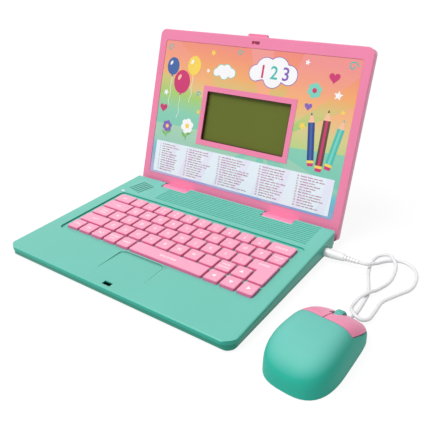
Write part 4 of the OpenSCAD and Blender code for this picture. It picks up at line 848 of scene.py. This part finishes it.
# Painted shade: a dark maroon sheet on the recess walls stands for the shade inside the display's
# recess.
recess_shade = moulded("recess_painted_shade", rgb(66, 16, 20), rough=0.6, grain=800)
RECESS_SHADE_LOW, RECESS_SHADE_HIGH = -4.35, -0.5
WINDOW_X, WINDOW_Y, WINDOW_W, WINDOW_H = 1.8, 103.2, 116, 60.6


def inset(gap, r):
    """The window's outline, drawn in by a gap."""
    half_w, half_h = WINDOW_W / 2 - gap, WINDOW_H / 2 - gap
    return rounded(WINDOW_X - half_w, WINDOW_Y - half_h, WINDOW_X + half_w, WINDOW_Y + half_h, r)


def ring_wall(name, ring_out, ring_in, low, high):
    """A wall on the lid between two outlines of as many points, from one level to another."""
    bm = bmesh.new()
    rows = [[bm.verts.new(LID @ Vector((x, y, z))) for x, y in ring]
            for ring, z in ((ring_out, low), (ring_out, high), (ring_in, high), (ring_in, low))]
    for a, b in zip(rows, rows[1:] + rows[:1]):
        for i in range(len(a)):
            j = (i + 1) % len(a)
            bm.faces.new((a[i], a[j], b[j], b[i]))
    bmesh.ops.recalc_face_normals(bm, faces=bm.faces)
    mesh = bpy.data.meshes.new(name)
    bm.to_mesh(mesh)
    bm.free()
    mesh.materials.append(recess_shade)
    piece = show(bpy.data.objects.new(name, mesh))
    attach(piece, "lid")


ring_wall("display_recess_shade", inset(0.05, 0.8), inset(0.75, 0.5), RECESS_SHADE_LOW, RECESS_SHADE_HIGH)

# ---------------------------------------------------------------- floor, light and backdrop

WHITE = (1, 1, 1, 1)
FLOOR_HALF, FLOOR_DROP = 4, 0.0001  # metres

# The floor catches shadows, and glows white to whatever looks at it.
floor_material = bpy.data.materials.new("floor_white")
floor_material.use_nodes = True
nt = floor_material.node_tree
nt.nodes.clear()
matte = add(nt, "BsdfDiffuse")
matte.inputs["Color"].default_value = (0.6, 0.6, 0.6, 1)
glow = add(nt, "Emission")
glow.inputs["Color"].default_value = WHITE
glow.inputs["Strength"].default_value = 1.13
blend = add(nt, "MixShader")
feed(nt, blend.inputs["Fac"], computed(nt, "MULTIPLY", seen_directly(nt), 0.8))
feed(nt, blend.inputs[1], matte.outputs["BSDF"])
feed(nt, blend.inputs[2], glow.outputs["Emission"])
feed(nt, add(nt, "OutputMaterial").inputs["Surface"], blend.outputs["Shader"])
floor_mesh = bpy.data.meshes.new("floor")
floor_mesh.from_pydata([(x * FLOOR_HALF, y * FLOOR_HALF, -FLOOR_DROP)
                        for x, y in ((-1, -1), (1, -1), (1, 1), (-1, 1))], [], [(0, 1, 2, 3)])
floor_mesh.materials.append(floor_material)
show(bpy.data.objects.new("floor", floor_mesh))

# The room gives soft light and looks white.
world = bpy.data.worlds.new("studio")
bpy.context.scene.world = world
world.use_nodes = True
nt = world.node_tree
nt.nodes.clear()
blend = add(nt, "MixShader")
feed(nt, blend.inputs["Fac"], seen_directly(nt))
for socket, strength in ((blend.inputs[1], 0.42), (blend.inputs[2], 1.0)):
    background = add(nt, "Background")
    background.inputs["Color"].default_value = WHITE
    background.inputs["Strength"].default_value = strength
    feed(nt, socket, background.outputs["Background"])
feed(nt, add(nt, "OutputWorld").inputs["Surface"], blend.outputs["Shader"])

sun_data = bpy.data.lights.new("softbox", "SUN")
sun_data.energy = 2.3
sun_data.angle = math.radians(40)
sun = show(bpy.data.objects.new("softbox", sun_data))
sun.rotation_euler = Vector((-0.35, -0.55, 1.0)).to_track_quat("Z", "Y").to_euler()

bpy.context.scene.view_settings.view_transform = "Standard"
